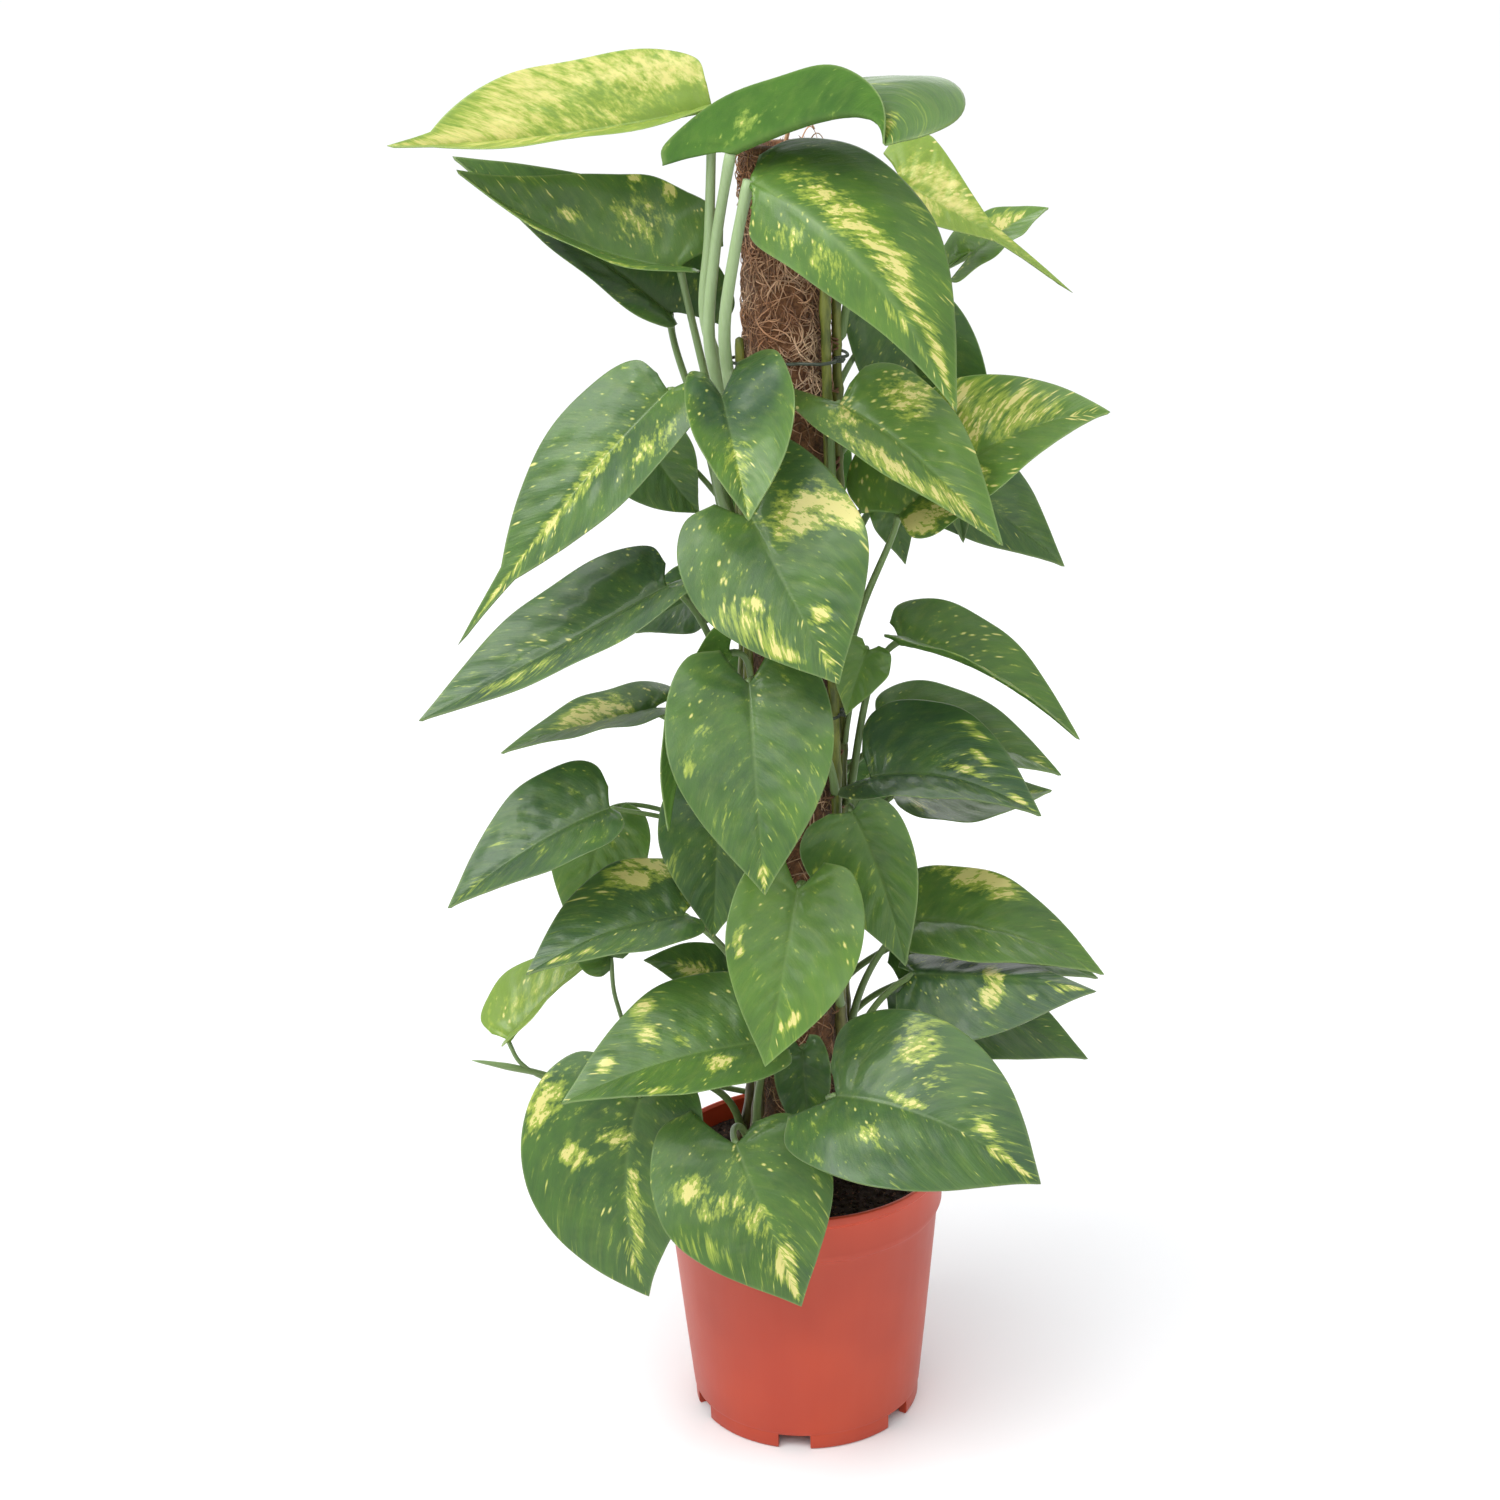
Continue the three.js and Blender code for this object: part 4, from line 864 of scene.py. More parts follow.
leaf_upper = leaf_material("leaf_upper", colour(51, 78, 47), colour(96, 131, 50), colour(154, 170, 70),
                           colour(214, 203, 130), 0.4, 0.35)
leaf_under = leaf_material("leaf_under", colour(56, 88, 46), colour(94, 134, 54), colour(144, 168, 78),
                           colour(200, 196, 120), 0.6, 0.0)
leaf_stalk = new_material("leaf_stalk", Roughness=0.42, Subsurface_Weight=0.1,
                          Subsurface_Radius=(0.004, 0.006, 0.002), Subsurface_Scale=0.5)
pale = node(leaf_stalk, "SeparateXYZ", {"Vector": node(leaf_stalk, "Attribute", attribute_name="marks_and_shade")
                                        .outputs["Vector"]}).outputs["Z"]
fibres = noise(leaf_stalk, position(leaf_stalk, (1, 1, 0.12)), 900.0, 3.0)
stalk_green = blended(leaf_stalk, pale, colour(92, 116, 58), colour(157, 177, 134))
stalk_green = blended(leaf_stalk, spread(leaf_stalk, fibres, 0.0, 0.5), stalk_green, colour(116, 146, 76))
feed(leaf_stalk, "Base Color", stalk_green)
feed(leaf_stalk, "Normal", relief(leaf_stalk, fibres, 0.0002))


def grow_leaf(vine_name, number, leaf):
    """One leaf: its blade, its stalk and, where it has one, the rolled young leaf beside it."""
    phase = len(grown) * 0.37
    top, under, facts = blade(leaf, phase)
    rows, columns = top.shape[:2]
    last = (rows - 1) * columns
    net = rows * columns
    points = np.concatenate([top.reshape(-1, 3), under.reshape(-1, 3)])
    # All of the last row is the tip, so its points are one above and one below.
    centre = columns // 2
    points[last:net] = points[last + centre]
    points[net + last:] = points[net + last + centre]
    upper, lower, wall = [], [], []
    ahead = top[9, centre] - top[8, centre]
    aside = top[8, centre + 4] - top[8, centre]
    facing = -1 if np.cross(ahead, aside) @ np.array(leaf["up"], float) > 0 else 1

    def face(store, corners, flip):
        corners = [last + centre if last <= c < net else net + last + centre if c >= net + last else c
                   for c in corners]
        corners = list(dict.fromkeys(corners))
        if len(corners) > 2:
            store.append(tuple(corners[::-1]) if flip else tuple(corners))

    for r in range(rows - 1):
        for c in range(columns - 1):
            a, b = r * columns + c, (r + 1) * columns + c
            face(upper, (a, a + 1, b + 1, b), facing > 0)
            face(lower, (net + a, net + a + 1, net + b + 1, net + b), facing < 0)
    rim = list(range(columns)) + [r * columns + columns - 1 for r in range(1, rows)]
    rim += [r * columns for r in range(rows - 2, 0, -1)]
    for a, b in zip(rim, rim[1:] + rim[:1]):
        face(wall, (a, net + a, net + b, b), facing > 0)
    points = points.tolist()
    values = {key: np.concatenate([fact.reshape(-1, 3)] * 2).tolist() for key, fact in facts.items()}

    line, up = stalk_line(leaf, vines[vine_name])
    share = np.linspace(0, 1, len(line))
    girth = leaf.get("stalk", stalk_radius) * (1 - (1 - stalk_taper) * share)
    girth = girth * (1 + 0.22 * np.exp(-(share / 0.06) ** 2) + 0.16 * np.exp(-((share - 0.96) / 0.05) ** 2))
    stalk_points, stalk_faces = tube(line, girth, stalk_sides, len(points))
    stalk_points = np.array(stalk_points).reshape(len(line), stalk_sides, 3)
    inward = stalk_points - line[:, None]
    groove = np.clip((unit(inward) * up).sum(-1) - 0.55, 0, 1)[..., None]
    stalk_points = (line[:, None] + inward * (1 - 0.55 * groove)).reshape(-1, 3).tolist()
    if "sprout" in leaf:
        foot = np.array(leaf["via"][0], float) * 0.15 + np.array(leaf["via"][1], float) * 0.85
        end = np.array(leaf["sprout"], float)
        steps = np.linspace(0, 1, spear_steps)
        spear = [foot + (end - foot) * s + np.array([0, 0, 2.0]) * s * (1 - s) for s in steps]
        girths = np.interp(steps, [0, 0.3, 0.6, 0.9, 1], [1.1, 1.7, 1.95, 0.9, 0.2])
        more_points, more_faces = tube(spear, girths, 12, len(points) + len(stalk_points))
        stalk_points += more_points
        stalk_faces += more_faces
    points += stalk_points
    for key in values:
        values[key] += [(0.0, 0.0, leaf.get("pale", stalk_paleness))] * len(stalk_points)
    faces = upper + wall + lower + stalk_faces

    made = piece(f"{vine_name}_leaf_{number}", points, faces, [leaf_upper, leaf_under, leaf_stalk],
                 "leaf", f"leaf_{vine_name}_{number}")
    kinds = [0] * (len(upper) + len(wall)) + [1] * len(lower) + [2] * len(stalk_faces)
    made.data.polygons.foreach_set("material_index", kinds)
    for key, rows_of_three in values.items():
        attribute = made.data.attributes.new(key, "FLOAT_VECTOR", "POINT")
        attribute.data.foreach_set("vector", np.ravel(rows_of_three))
    grown.append(made)


# The front left vine carries the three large top leaves on thick, pale, upright stalks, a furled
# leaf below them, and the two lowest leaves in front of the pot. Each is a single waxy blade that
# grew from its own ring on the vine.
front_left_leaves = [
    dict(at=548, base=(-32, 10, 681), tip=(-182, -5, 669), up=(0, -0.5, 0.87), bow=(0, 0, -4),
         half=(27, 34), fold=(32, 38), twist=-8, belly=(0.17, 0.2), lobe=(0.01, 0), drip=0.1, stalk=3,
         via=((-38, -13, 587), (-35, -8, 625)), tone=0.97, flecks=0.2, pale=0.9,
         cream=((0.15, -0.7, 0.25, 0.4, 0.9), (0.5, -0.75, 0.35, 0.35, 0.9), (0.8, -0.35, 0.35, 0.5, 1),
                (0.45, -0.2, 0.3, 0.25, 0.55), (0.6, 0.4, 0.4, 0.6, 0.65))),
    dict(at=530, base=(-24, -45, 666), tip=(42, -95, 672), up=(0, 0, 1), bow=(18, -6, 15), half=(47, 23),
         fold=(42, 85), curl=(-50, 0), lobe=(0.1, 0.22), belly=(0.34, 0), stalk=3.2,
         via=((-36, -21, 575), (-32, -28, 622)), tone=0.42, flecks=0.12, pale=0.95,
         cream=((0.02, 0.35, 0.08, 0.2, 0.4), (0.08, -0.4, 0.05, 0.2, 0.35),
                (0.86, 0.25, 0.1, 0.3, 0.7))),
    dict(at=512, base=(-16, -47, 654), tip=(73, -95, 556), up=(0.2, -0.75, 0.62), bow=(5, -16, 14),
         half=(50, 24), fold=(-4, -42), lobe=(0.06, -0.08), belly=(0.05, -0.04), stalk=3.4,
         via=((-26, -26, 548), (-29, -37, 584), (-23, -44, 623)), tone=0.6, flecks=0.35, pale=0.95,
         cream=((0.32, 0.28, 0.25, 0.2, 0.85), (0.55, 0.3, 0.2, 0.2, 1), (0.72, -0.25, 0.15, 0.3, 0.6),
                (0.35, -0.5, 0.2, 0.3, 0.5), (0.85, 0.4, 0.12, 0.3, 0.85))),
    # The furled leaf's green is darkened at its stalk by painted throat shade.
    dict(at=480, base=(-31, -45, 557), tip=(-20, -97, 510), up=(0, -0.75, 0.66), bow=(0, -5, 3),
         half=(36, 20), fold=(10, 20), curl=(40, 10), lobe=(0.25, 0.2), stalk=2.4,
         via=((-33, -27, 505), (-35, -37, 535)), swell=5.5, tone=0.55, throat_shade=0.9, flecks=0.35, pale=0.5,
         cream=((0.6, 0.05, 0.25, 0.25, 0.62), (0.92, 0, 0.1, 0.6, 0.7))),
    dict(at=170, base=(-23, -70, 241), tip=(-118, -95, 223), up=(-0.1, -0.6, 0.8), bow=(0, 0, 5),
         half=(30, 42), fold=(22, 5), tone=0.45, flecks=0.4,
         cream=((0.75, -0.5, 0.06, 0.25, 0.85), (0.5, -0.45, 0.07, 0.25, 0.7),
                (0.5, -0.85, 0.08, 0.15, 0.8), (0.22, 0.4, 0.08, 0.25, 0.85),
                (0.55, 0.85, 0.12, 0.12, 0.75), (0.35, -0.2, 0.05, 0.2, 0.6))),
    dict(at=148, base=(-34, -84, 193), tip=(-4, -113, 118), up=(0, -0.75, 0.65), bow=(0, -5, 3),
         half=(40, 49), fold=(8, 5), lobe=(0.08, 0.3), tone=0.38, flecks=0.5,
         cream=((0.8, 0, 0.22, 0.5, 0.95), (0.3, -0.4, 0.08, 0.25, 0.8), (0.15, -0.6, 0.08, 0.25, 0.8),
                (0.45, -0.12, 0.12, 0.2, 0.6), (0.5, -0.8, 0.15, 0.2, 0.6))),
    dict(at=366, base=(-31, -37, 431), tip=(-63, -60, 349), up=(-0.75, 0.3, 0.5), bow=(-5, 0, 5),
         half=(28, 28), fold=(20, 20), lobe=(0.16, 0.02), tone=0.7, flecks=0.2,
         cream=((0.5, -0.3, 0.4, 0.2, 0.7),)),
    dict(at=300, base=(-38, -20, 352), tip=(-43, -40, 284), up=(0, -0.9, 0.45), bow=(0, 0, 0),
         half=(30, 30), fold=(10, 10), tone=0.2, flecks=0.1),
]
for number, leaf in enumerate(front_left_leaves, 1):
    grow_leaf("front_left", number, leaf)


# The left vine's leaves spread to the left from short stalks. The two upper ones are cupped and
# show their dull lower faces, and the lowest hangs over the pot's edge.
left_leaves = [
    dict(at=505, base=(-49, 5, 608), tip=(-152, 8, 656), up=(0.2, -0.5, 0.85), bow=(0, 0, -9),
         half=(22, 41), fold=(30, 36), lobe=(0.1, 0.2), stalk=2.3, tone=0.5, flecks=0.5, pale=0.5,
         cream=((0.22, -0.5, 0.16, 0.3, 0.6), (0.32, -0.95, 0.05, 0.1, 1), (0.1, -0.9, 0.05, 0.14, 1),
                (0.55, -0.35, 0.07, 0.14, 0.8), (0.5, 0.92, 0.5, 0.1, 0.7))),
    dict(at=482, base=(-55, 24, 584), tip=(-157, 40, 659), up=(0.35, -0.42, 0.84), bow=(0, 0, 2),
         half=(19, 36), fold=(0, 50), lobe=(0.05, 0.2), stalk=2.3, tone=0.3, flecks=0.12, pale=0.3,
         cream=((0.8, 0.85, 0.12, 0.12, 0.7),)),
    dict(at=455, base=(-56, -25, 556), tip=(-159, -50, 442), up=(-0.3, -0.8, 0.5), bow=(-2, -5, 4),
         half=(29, 31), fold=(16, 5), drip=0.2, lobe=(0.14, 0.02), belly=0.06, tone=0.32, flecks=0.6,
         cream=((0.35, 0.05, 0.2, 0.2, 0.66), (0.55, 0.1, 0.2, 0.25, 0.75), (0.8, 0.2, 0.12, 0.5, 0.9),
                (0.15, 0.6, 0.1, 0.3, 0.55))),
    dict(at=374, base=(-60, -30, 463), tip=(-180, -50, 405), up=(-0.1, -0.5, 0.86), bow=(0, 0, -1),
         half=(30, 34), fold=(24, 10), lobe=(0.12, 0.04), belly=0.05, tone=0.2, flecks=0.35,
         cream=((0.6, 0.5, 0.3, 0.4, 0.45),)),
    dict(at=300, base=(-92, -25, 349), tip=(-173, -45, 306), up=(-0.25, -0.65, 0.72), bow=(0, 0, 5),
         half=(30, 34), fold=(25, 5), lobe=0.04, stalk=1.5, tone=0.22, flecks=0.06,
         cream=((0.85, 0.2, 0.15, 0.5, 0.35),)),
    dict(at=232, base=(-57, -35, 295), tip=(-135, -60, 276), up=(-0.15, -0.45, 0.88), bow=(0, 0, 6),
         half=(30, 38), fold=(20, 10), lobe=(0.08, 0.22), tone=0.25, flecks=0.3,
         cream=((0.22, -0.75, 0.18, 0.3, 1), (0.1, -0.9, 0.12, 0.3, 0.9), (0.8, 0.5, 0.08, 0.3, 0.8),
                (0.65, 0.6, 0.06, 0.2, 0.7))),
    dict(at=160, base=(-82, -60, 207), tip=(-80, -85, 109), up=(-0.1, -0.85, 0.5), bow=(-9, -5, 0),
         half=(40, 54), fold=(12, 5), tone=0.3, flecks=0.5,
         cream=((0.1, -0.9, 0.12, 0.2, 0.9), (0.3, -0.5, 0.06, 0.2, 0.95), (0.45, 0.12, 0.2, 0.12, 0.8),
                (0.68, 0.25, 0.2, 0.2, 0.62), (0.2, -0.1, 0.06, 0.2, 0.65),
                (0.82, -0.1, 0.15, 0.2, 0.72))),
]
for number, leaf in enumerate(left_leaves, 1):
    grow_leaf("left", number, leaf)


# The back left vine has smaller leaves that show between the others, one on a long arching stalk
# with a rolled young leaf beside it, and one that faces the back.
back_left_leaves = [
    dict(at=465, base=(-72, 20, 528), tip=(-44, 15, 487), up=(-0.2, -0.9, 0.3), bow=(0, 0, -3),
         half=(20, 24), fold=(10, 10), stalk=1.6, tone=0.4, flecks=0.4),
    dict(at=404, base=(-42, 12, 446), tip=(-78, 20, 425), up=(-0.2, -0.8, 0.5), bow=(0, 0, 3),
         half=(18, 18), fold=(10, 10), stalk=1.6, tone=0.2, flecks=0.1),
    dict(at=345, base=(-69, -5, 393), tip=(-146, -10, 374), up=(0, -0.1, 1), bow=(0, 0, 3), half=(24, 24),
         fold=(10, 14), tone=0.45, flecks=0.4, cream=((0.4, -0.3, 0.25, 0.6, 0.9),)),
    dict(at=285, base=(-96, 15, 332), tip=(-115, 5, 265), up=(-0.2, -0.8, 0.5), bow=(0, 0, 3),
         half=(30, 28), fold=(10, 5), stalk=1.6, tone=0.75, flecks=0.2,
         cream=((0.7, 0.1, 0.12, 0.2, 0.85),)),
    dict(at=205, base=(-35, 8, 238), tip=(-81, 20, 247), up=(0, -0.7, 0.7), bow=(0, 0, 3), half=(14, 16),
         fold=(10, 10), stalk=1.6, tone=0.3, flecks=0.3, cream=((0.4, 0.2, 0.25, 0.5, 0.9),)),
    dict(at=167, base=(-151, -12, 218), tip=(-98, 10, 258), up=(-0.3, -0.4, 0.85), bow=(0, 0, 5),
         half=(29, 20), fold=(10, 40), lobe=0.04, stalk=1.5, sprout=(-169, -20, 211),
         via=((-95, 6, 190), (-130, -8, 193), (-145, -12, 205)), tone=0.95, flecks=0.3, pale=0.4,
         cream=((0.3, 0.3, 0.3, 0.4, 0.4),)),
    dict(at=185, base=(-96, -8, 261), tip=(-114, -8, 284), up=(0, -0.9, 0.4), bow=(0, 0, 0),
         half=(15, 14), fold=(10, 10), stalk=1.5, via=((-60, 22, 205), (-84, 14, 200), (-95, 3, 232)),
         tone=0.5, flecks=0.5, cream=((0.5, 0, 0.3, 0.6, 0.7),)),
    dict(at=320, base=(0, 62, 395), tip=(0, 112, 305), up=(0, 0.8, 0.6), bow=(0, 6, 6), half=(34, 33),
         fold=(8, 10), tone=0.4, flecks=0.5,
         cream=((0.4, 0.4, 0.12, 0.3, 0.85), (0.7, -0.4, 0.1, 0.3, 0.85))),
]
for number, leaf in enumerate(back_left_leaves, 1):
    grow_leaf("back_left", number, leaf)


# The back vine's leaves are partly guessed, because the photograph hardly shows them: three face
# the back, and the others reach to the right behind the front leaves.
back_leaves = [
    dict(at=536, base=(12, 58, 640), tip=(15, 104, 560), up=(0, 0.8, 0.6), bow=(0, 6, 6), half=(31, 30),
         fold=(10, 8), tone=0.6, flecks=0.6,
         cream=((0.3, -0.4, 0.2, 0.3, 0.85), (0.6, 0.5, 0.15, 0.3, 0.8))),
    dict(at=440, base=(48, 14, 492), tip=(57, 12, 459), up=(0.2, -0.9, 0.3), bow=(0, 0, 2), half=(11, 12),
         fold=(10, 10), stalk=1.4, tone=0.5, flecks=0.1),
    dict(at=415, base=(0, 64, 505), tip=(-5, 114, 415), up=(0, 0.8, 0.6), bow=(0, 6, 6), half=(34, 36),
         fold=(8, 12), tone=0.35, flecks=0.4, cream=((0.5, -0.3, 0.2, 0.35, 0.85),)),
    dict(at=325, base=(48, 12, 370), tip=(136, 14, 346), up=(0.1, -0.35, 0.93), bow=(0, 0, 8),
         half=(36, 30), fold=(10, 10), lobe=0.06, tone=0.5, flecks=0.2, cream=((0.9, 0, 0.1, 0.5, 0.6),)),
    dict(at=290, base=(52, 14, 340), tip=(133, 28, 333), up=(0, -0.3, 0.95), bow=(0, 0, -3),
         half=(30, 30), fold=(10, 10), lobe=0.06, tone=0.5, flecks=0.2,
         cream=((0.9, 0, 0.1, 0.5, 0.7), (0.1, -0.6, 0.1, 0.3, 0.8))),
    dict(at=262, base=(15, 66, 330), tip=(25, 120, 240), up=(0, 0.8, 0.6), bow=(0, 6, 6), half=(38, 36),
         fold=(10, 8), tone=0.25, flecks=0.5,
         cream=((0.3, 0.5, 0.12, 0.3, 0.85), (0.75, 0, 0.2, 0.4, 0.75))),
    dict(at=212, base=(60, 5, 265), tip=(155, 0, 239), up=(0, -0.3, 0.95), bow=(0, 0, 4), half=(30, 30),
         fold=(10, 10), lobe=0.06, tone=0.2, flecks=0.1),
    dict(at=185, base=(52, 2, 238), tip=(152, 10, 188), up=(0.1, -0.5, 0.85), bow=(0, 0, 5),
         half=(32, 40), fold=(10, 10), lobe=0.08, tone=0.3, flecks=0.15),
]
for number, leaf in enumerate(back_leaves, 1):
    grow_leaf("back", number, leaf)


# The right vine's leaves spread to the right, from the bright yellow-green one at the top to the
# dark one that lies over the pot's edge.
right_leaves = [
    dict(at=575, base=(56, 30, 643), tip=(137, 10, 591), up=(0.3, -0.8, 0.52), bow=(0, 0, 3),
         half=(30, 15), fold=(4, 6), lobe=(0.25, 0.1), drip=0.38, belly=(-0.3, 0), tone=1, flecks=0.7,
         cream=((0.25, 0.3, 0.25, 0.5, 0.85), (0.5, 0.6, 0.2, 0.4, 0.75), (0.15, -0.3, 0.15, 0.4, 0.7))),
    dict(at=552, base=(92, 45, 606), tip=(131, 60, 625), up=(-0.3, -0.4, 0.87), bow=(0, 0, 3),
         half=(18, 18), fold=(10, 10), lobe=0.4, stalk=1.7, via=((35, 28, 562), (62, 48, 588)), tone=0.8,
         flecks=0.6, cream=((0.5, 0.3, 0.3, 0.5, 0.85),)),
    dict(at=520, base=(50, 30, 577), tip=(86, 20, 467), up=(-0.45, -0.85, 0.2), bow=(5, 0, 5),
         half=(35, 26), fold=(0, 40), stalk=2.2, tone=0.3, flecks=0.05),
    dict(at=455, base=(68, 48, 500), tip=(139, 38, 449), up=(0.1, -0.7, 0.7), bow=(0, 0, 4),
         half=(30, 30), fold=(10, 10), tone=0.3, flecks=0.1),
    dict(at=412, base=(51, -23, 493), tip=(149, -38, 543), up=(-0.3, -0.6, 0.75), bow=(0, 0, 12),
         half=(40, 29), fold=(25, 5), lobe=(0.1, 0), tone=0.75, flecks=1,
         cream=((0.35, 0.5, 0.3, 0.5, 0.72), (0.6, 0.4, 0.25, 0.5, 0.72), (0.3, -0.5, 0.12, 0.3, 0.95),
                (0.05, -0.6, 0.12, 0.4, 1))),
    dict(at=372, base=(36, -22, 426), tip=(25, -32, 396), up=(0.2, -0.9, 0.3), bow=(0, 0, 2),
         half=(14, 16), fold=(20, 10), stalk=1.5, tone=0.7, flecks=0.2),
    dict(at=340, base=(52, -12, 427), tip=(139, -30, 380), up=(0.15, -0.35, 0.92), bow=(0, 0, 9),
         half=(31, 28), fold=(15, 38), lobe=0.08, tone=0.5, flecks=0.5,
         cream=((0.5, -0.8, 0.4, 0.22, 0.6),)),
    dict(at=215, base=(57, -20, 283), tip=(152, -40, 259), up=(0.1, -0.4, 0.9), bow=(0, 0, 8),
         half=(36, 30), fold=(8, 8), lobe=0.1, tone=0.5, flecks=0.08,
         cream=((0.32, 0.8, 0.18, 0.28, 1), (0.2, 0.95, 0.15, 0.2, 0.9))),
    dict(at=190, base=(56, -45, 264), tip=(145, -62, 260), up=(0.1, -0.75, 0.65), bow=(0, 0, 3),
         half=(27, 36), fold=(-45, 5), lobe=0.1, tone=0.1, flecks=0.35,
         cream=((0.44, 0.1, 0.07, 0.4, 1), (0.44, -0.3, 0.07, 0.3, 1), (0.66, -0.5, 0.04, 0.12, 0.85),
                (0.87, -0.1, 0.1, 0.4, 0.8), (0.2, 0.6, 0.06, 0.2, 0.6))),
]
for number, leaf in enumerate(right_leaves, 1):
    grow_leaf("right", number, leaf)


# The front right vine carries the large hanging hearts in the middle of the plant, the flecked
# leaf above them and the broad low leaf over the rim.
front_right_leaves = [
    dict(at=478, base=(24, -30, 549), tip=(96, -75, 490), up=(0.05, -0.7, 0.7), bow=(0, 0, 6),
         half=(33, 31), fold=(5, 28), lobe=(0.02, 0.24), tone=0.65, flecks=0.95,
         cream=((0.25, 0.65, 0.14, 0.35, 0.85), (0.5, -0.7, 0.4, 0.3, 0.8), (0.78, -0.3, 0.2, 0.5, 0.75),
                (0.1, -0.3, 0.1, 0.3, 0.7))),
    dict(at=440, base=(-19, -65, 504), tip=(19, -105, 435), up=(0, -0.9, 0.45), bow=(0, -5, 0),
         half=(45, 42), fold=(5, 5), lobe=(0.38, 0.14), stalk=2.4, tone=0.36, flecks=0.5,
         cream=((0.1, 0.55, 0.14, 0.45, 0.9), (0.2, 0.9, 0.15, 0.2, 0.95), (0.55, -0.7, 0.22, 0.3, 0.62),
                (0.42, -0.45, 0.06, 0.12, 0.8), (0.62, 0.3, 0.05, 0.25, 0.8), (0.85, 0.1, 0.1, 0.5, 0.55),
                (0.72, -0.75, 0.1, 0.2, 0.9))),
    dict(at=352, base=(-22, -70, 426), tip=(-17, -115, 337), up=(0, -0.88, 0.47), bow=(0, -5, 0),
         half=(38, 41), fold=(8, 8), lobe=0.16, tone=0.34, flecks=0.16,
         cream=((0.93, 0, 0.08, 0.5, 0.95), (0.22, -0.55, 0.05, 0.15, 0.55),
                (0.38, -0.8, 0.05, 0.1, 0.55), (0.5, 0.75, 0.12, 0.1, 0.5))),
    dict(at=318, base=(36, -34, 365), tip=(117, -60, 352), up=(0.1, -0.5, 0.86), bow=(0, 0, 9),
         half=(44, 30), fold=(10, 25), lobe=(0.05, 0.16), tone=0.08, flecks=0.1,
         cream=((0.57, 0.2, 0.17, 0.09, 0.95), (0.6, 0.52, 0.1, 0.08, 0.9), (0.52, 0.82, 0.1, 0.09, 0.8),
                (0.87, 0.15, 0.1, 0.3, 0.75))),
    dict(at=280, base=(26, -50, 353), tip=(51, -65, 277), up=(-0.2, -0.9, 0.35), bow=(2, 0, 3),
         half=(26, 33), fold=(30, 0), lobe=0.06, tone=0.45, flecks=0.2,
         cream=((0.4, -0.8, 0.12, 0.2, 0.7),)),
    dict(at=236, base=(-1, -75, 324), tip=(-19, -110, 247), up=(0, -0.85, 0.5), bow=(0, -5, 0),
         half=(35, 31), fold=(8, 10), lobe=0.16, tone=0.66, flecks=0.2,
         cream=((0.35, -0.8, 0.08, 0.1, 0.9), (0.7, 0.55, 0.07, 0.15, 1), (0.76, 0.3, 0.05, 0.1, 0.8))),
    dict(at=180, base=(0, -40, 222), tip=(2, -57, 174), up=(0, -0.85, 0.5), bow=(0, 0, 0), half=(14, 15),
         fold=(10, 10), stalk=1.6, tone=0.2, flecks=0.1),
    dict(at=150, base=(15, -92, 222), tip=(111, -127, 190), up=(0, -0.7, 0.7), bow=(0, -4, 12),
         half=(48, 44), fold=(5, 8), lobe=(0.05, 0.22), belly=0.07, tone=0.25, flecks=0.42,
         cream=((0.3, 0.68, 0.1, 0.3, 0.8), (0.42, 0.4, 0.05, 0.2, 0.75), (0.35, 0.08, 0.12, 0.06, 0.8),
                (0.22, -0.4, 0.05, 0.14, 0.7), (0.82, 0, 0.09, 0.35, 0.9), (0.7, 0.3, 0.06, 0.2, 0.75),
                (0.92, -0.15, 0.07, 0.3, 0.9))),
]
for number, leaf in enumerate(front_right_leaves, 1):
    grow_leaf("front_right", number, leaf)


# The stage: a plain pale floor that reaches the horizon, a white surround that is brighter above, to
# the left and at the horizon, one wide soft light high at the front left, and softboxes whose
# reflections give the leaves their sheen.
floor_half = 30.0
floor_mesh = bpy.data.meshes.new("floor")
floor_mesh.from_pydata([(-floor_half, -floor_half, -0.0002), (floor_half, -floor_half, -0.0002),
                        (floor_half, floor_half, -0.0002), (-floor_half, floor_half, -0.0002)], [],
                       [(0, 1, 2, 3)])
floor = bpy.data.objects.new("floor", floor_mesh)
bpy.context.scene.collection.objects.link(floor)
floor_paint = new_material("floor_paint", Roughness=0.8, Specular_IOR_Level=0.2)
floor_cloud = noise(floor_paint, position(floor_paint), 0.8, 2.0)
floor_colour = blended(floor_paint, floor_cloud, colour(243, 243, 244), colour(246, 246, 246))
feed(floor_paint, "Base Color", floor_colour)
floor_mesh.materials.append(floor_paint)

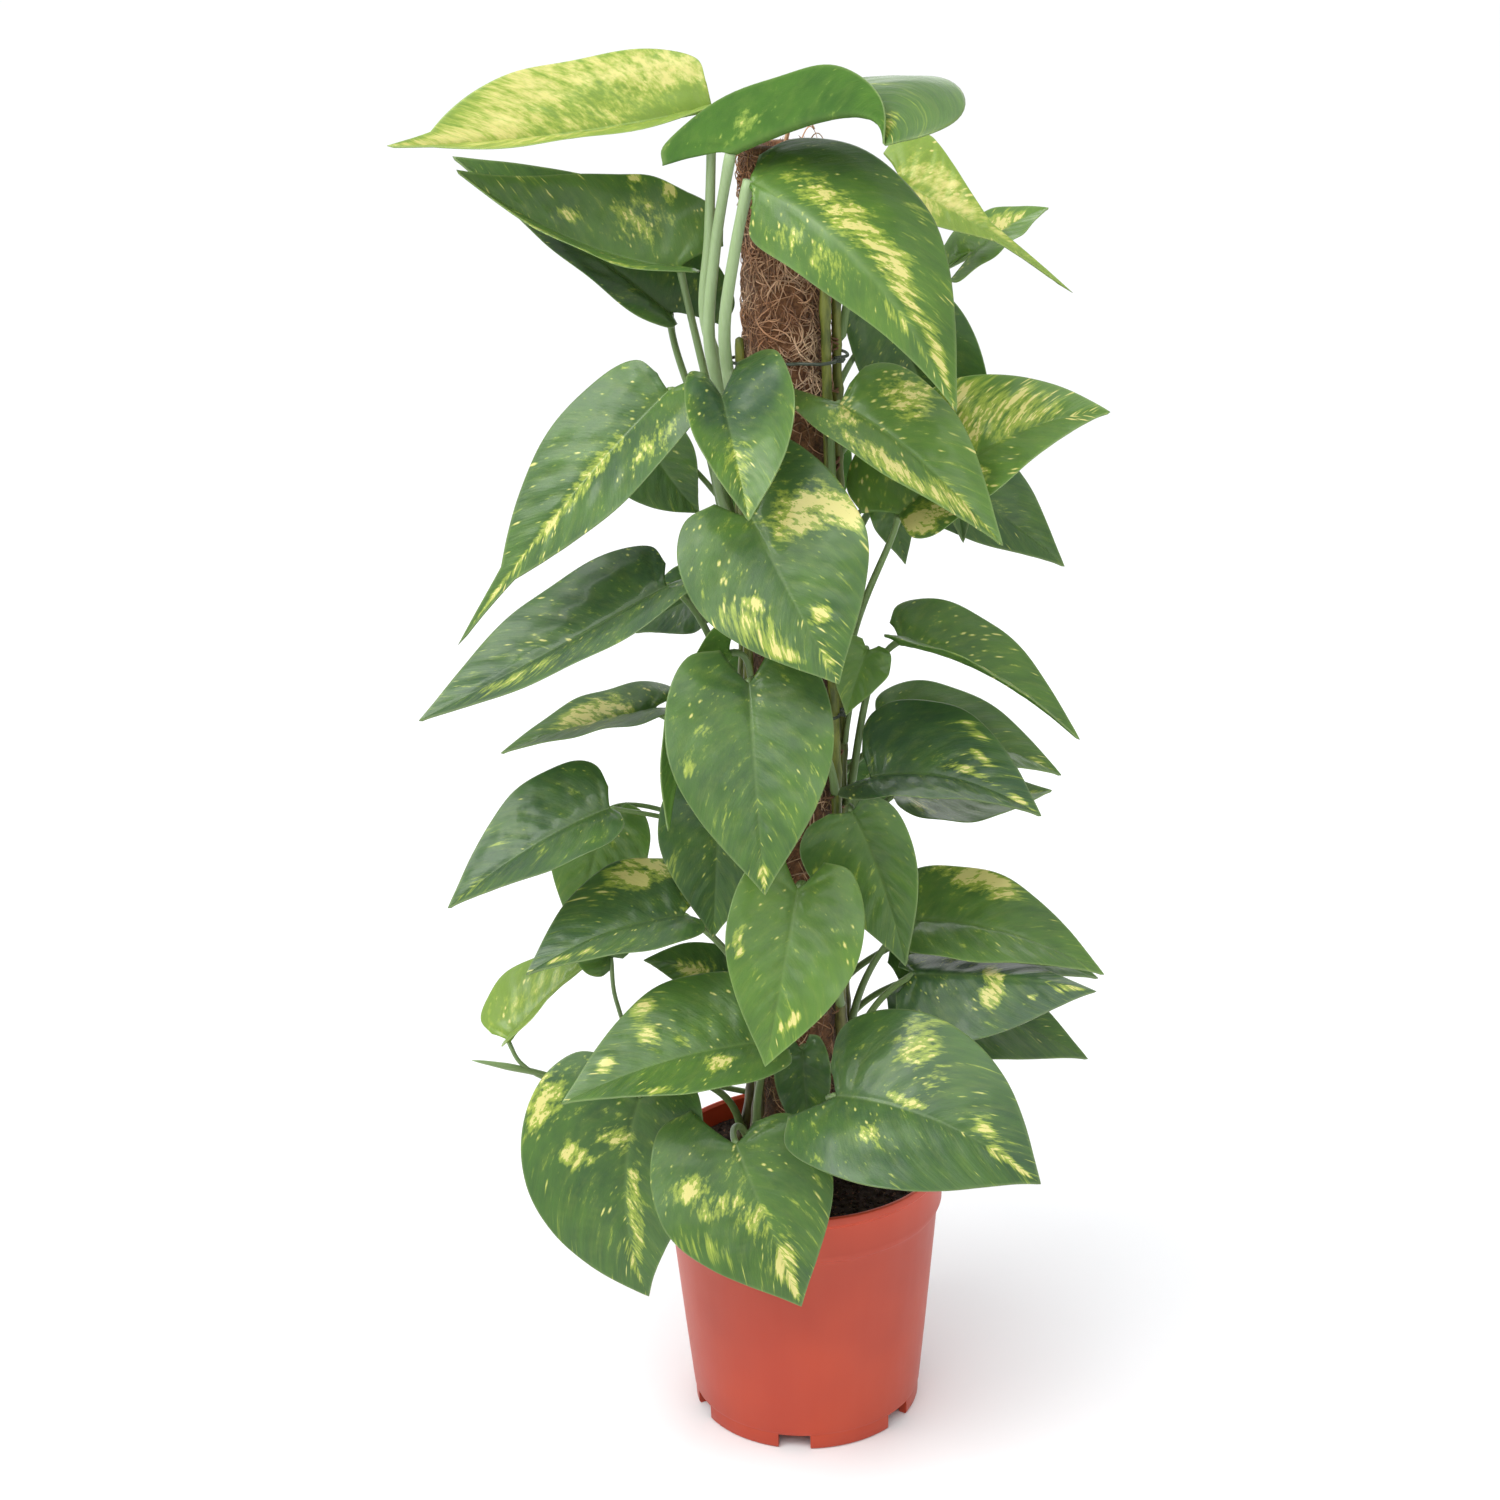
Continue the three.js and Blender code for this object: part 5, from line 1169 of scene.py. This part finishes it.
world = bpy.data.worlds.new("studio")
world.use_nodes = True
surround = world.node_tree.nodes["Background"]
surround.inputs["Color"].default_value = (0.96, 0.98, 1.0, 1.0)
way = node(world, "TexCoord").outputs["Generated"]
to_right, _, height = node(world, "SeparateXYZ", {"Vector": way}).outputs
glow = reckon(world, "ADD", reckon(world, "MULTIPLY", height, 0.52), 0.48)
glow = reckon(world, "ADD", reckon(world, "MULTIPLY", to_right, -0.16), glow)
horizon = reckon(world, "POWER", reckon(world, "SUBTRACT", 1.0, height, clamp=True), 14.0)
glow = reckon(world, "ADD", reckon(world, "MULTIPLY", horizon, 0.5), glow)
world.node_tree.links.new(glow, surround.inputs["Strength"])
bpy.context.scene.world = world


def softbox(name, place, aim, size, power):
    light = bpy.data.lights.new(name, "AREA")
    light.shape = "RECTANGLE"
    light.size, light.size_y = size
    light.energy = power
    made = bpy.data.objects.new(name, light)
    made.location = place
    heading = Vector(aim) - Vector(place)
    made.rotation_euler = heading.to_track_quat("-Z", "Y").to_euler()
    bpy.context.scene.collection.objects.link(made)


softbox("front_box", (0.8, -1.5, 1.4), (0, 0, 0.35), (1.0, 1.2), 5)
softbox("window", (-0.95, -0.65, 1.75), (0, 0, 0.35), (0.9, 0.9), 14)
softbox("back_box", (0.5, 1.6, 1.2), (0, 0, 0.35), (1.2, 1.0), 5)
key = bpy.data.lights.new("key", "SUN")
key.energy = 1.3
key.angle = math.radians(50)
key_lamp = bpy.data.objects.new("key", key)
key_lamp.rotation_euler = Vector((0.25, 0.55, -1.0)).to_track_quat("-Z", "Y").to_euler()
bpy.context.scene.collection.objects.link(key_lamp)


# The camera stands where the photograph was taken from: 1.2 m in front of the pole, a little above
# the top leaves, looking down by 19 degrees and rolled by a degree and a half.
camera_place = (-0.0222, -1.2, 0.782)
photo_width = 1500
focal_length_in_pixels = 2536
camera_data = bpy.data.cameras.new("photo_camera")
camera_data.sensor_width = 36
camera_data.lens = focal_length_in_pixels / photo_width * camera_data.sensor_width
camera = bpy.data.objects.new("photo_camera", camera_data)
pitch = math.radians(90 - 19.01)
roll = math.radians(-1.49)
camera.matrix_world = (Matrix.Translation(camera_place)
                       @ Matrix.Rotation(pitch, 4, "X") @ Matrix.Rotation(roll, 4, "Z"))
bpy.context.scene.collection.objects.link(camera)
bpy.context.scene.camera = camera
bpy.context.scene.view_settings.view_transform = "Standard"
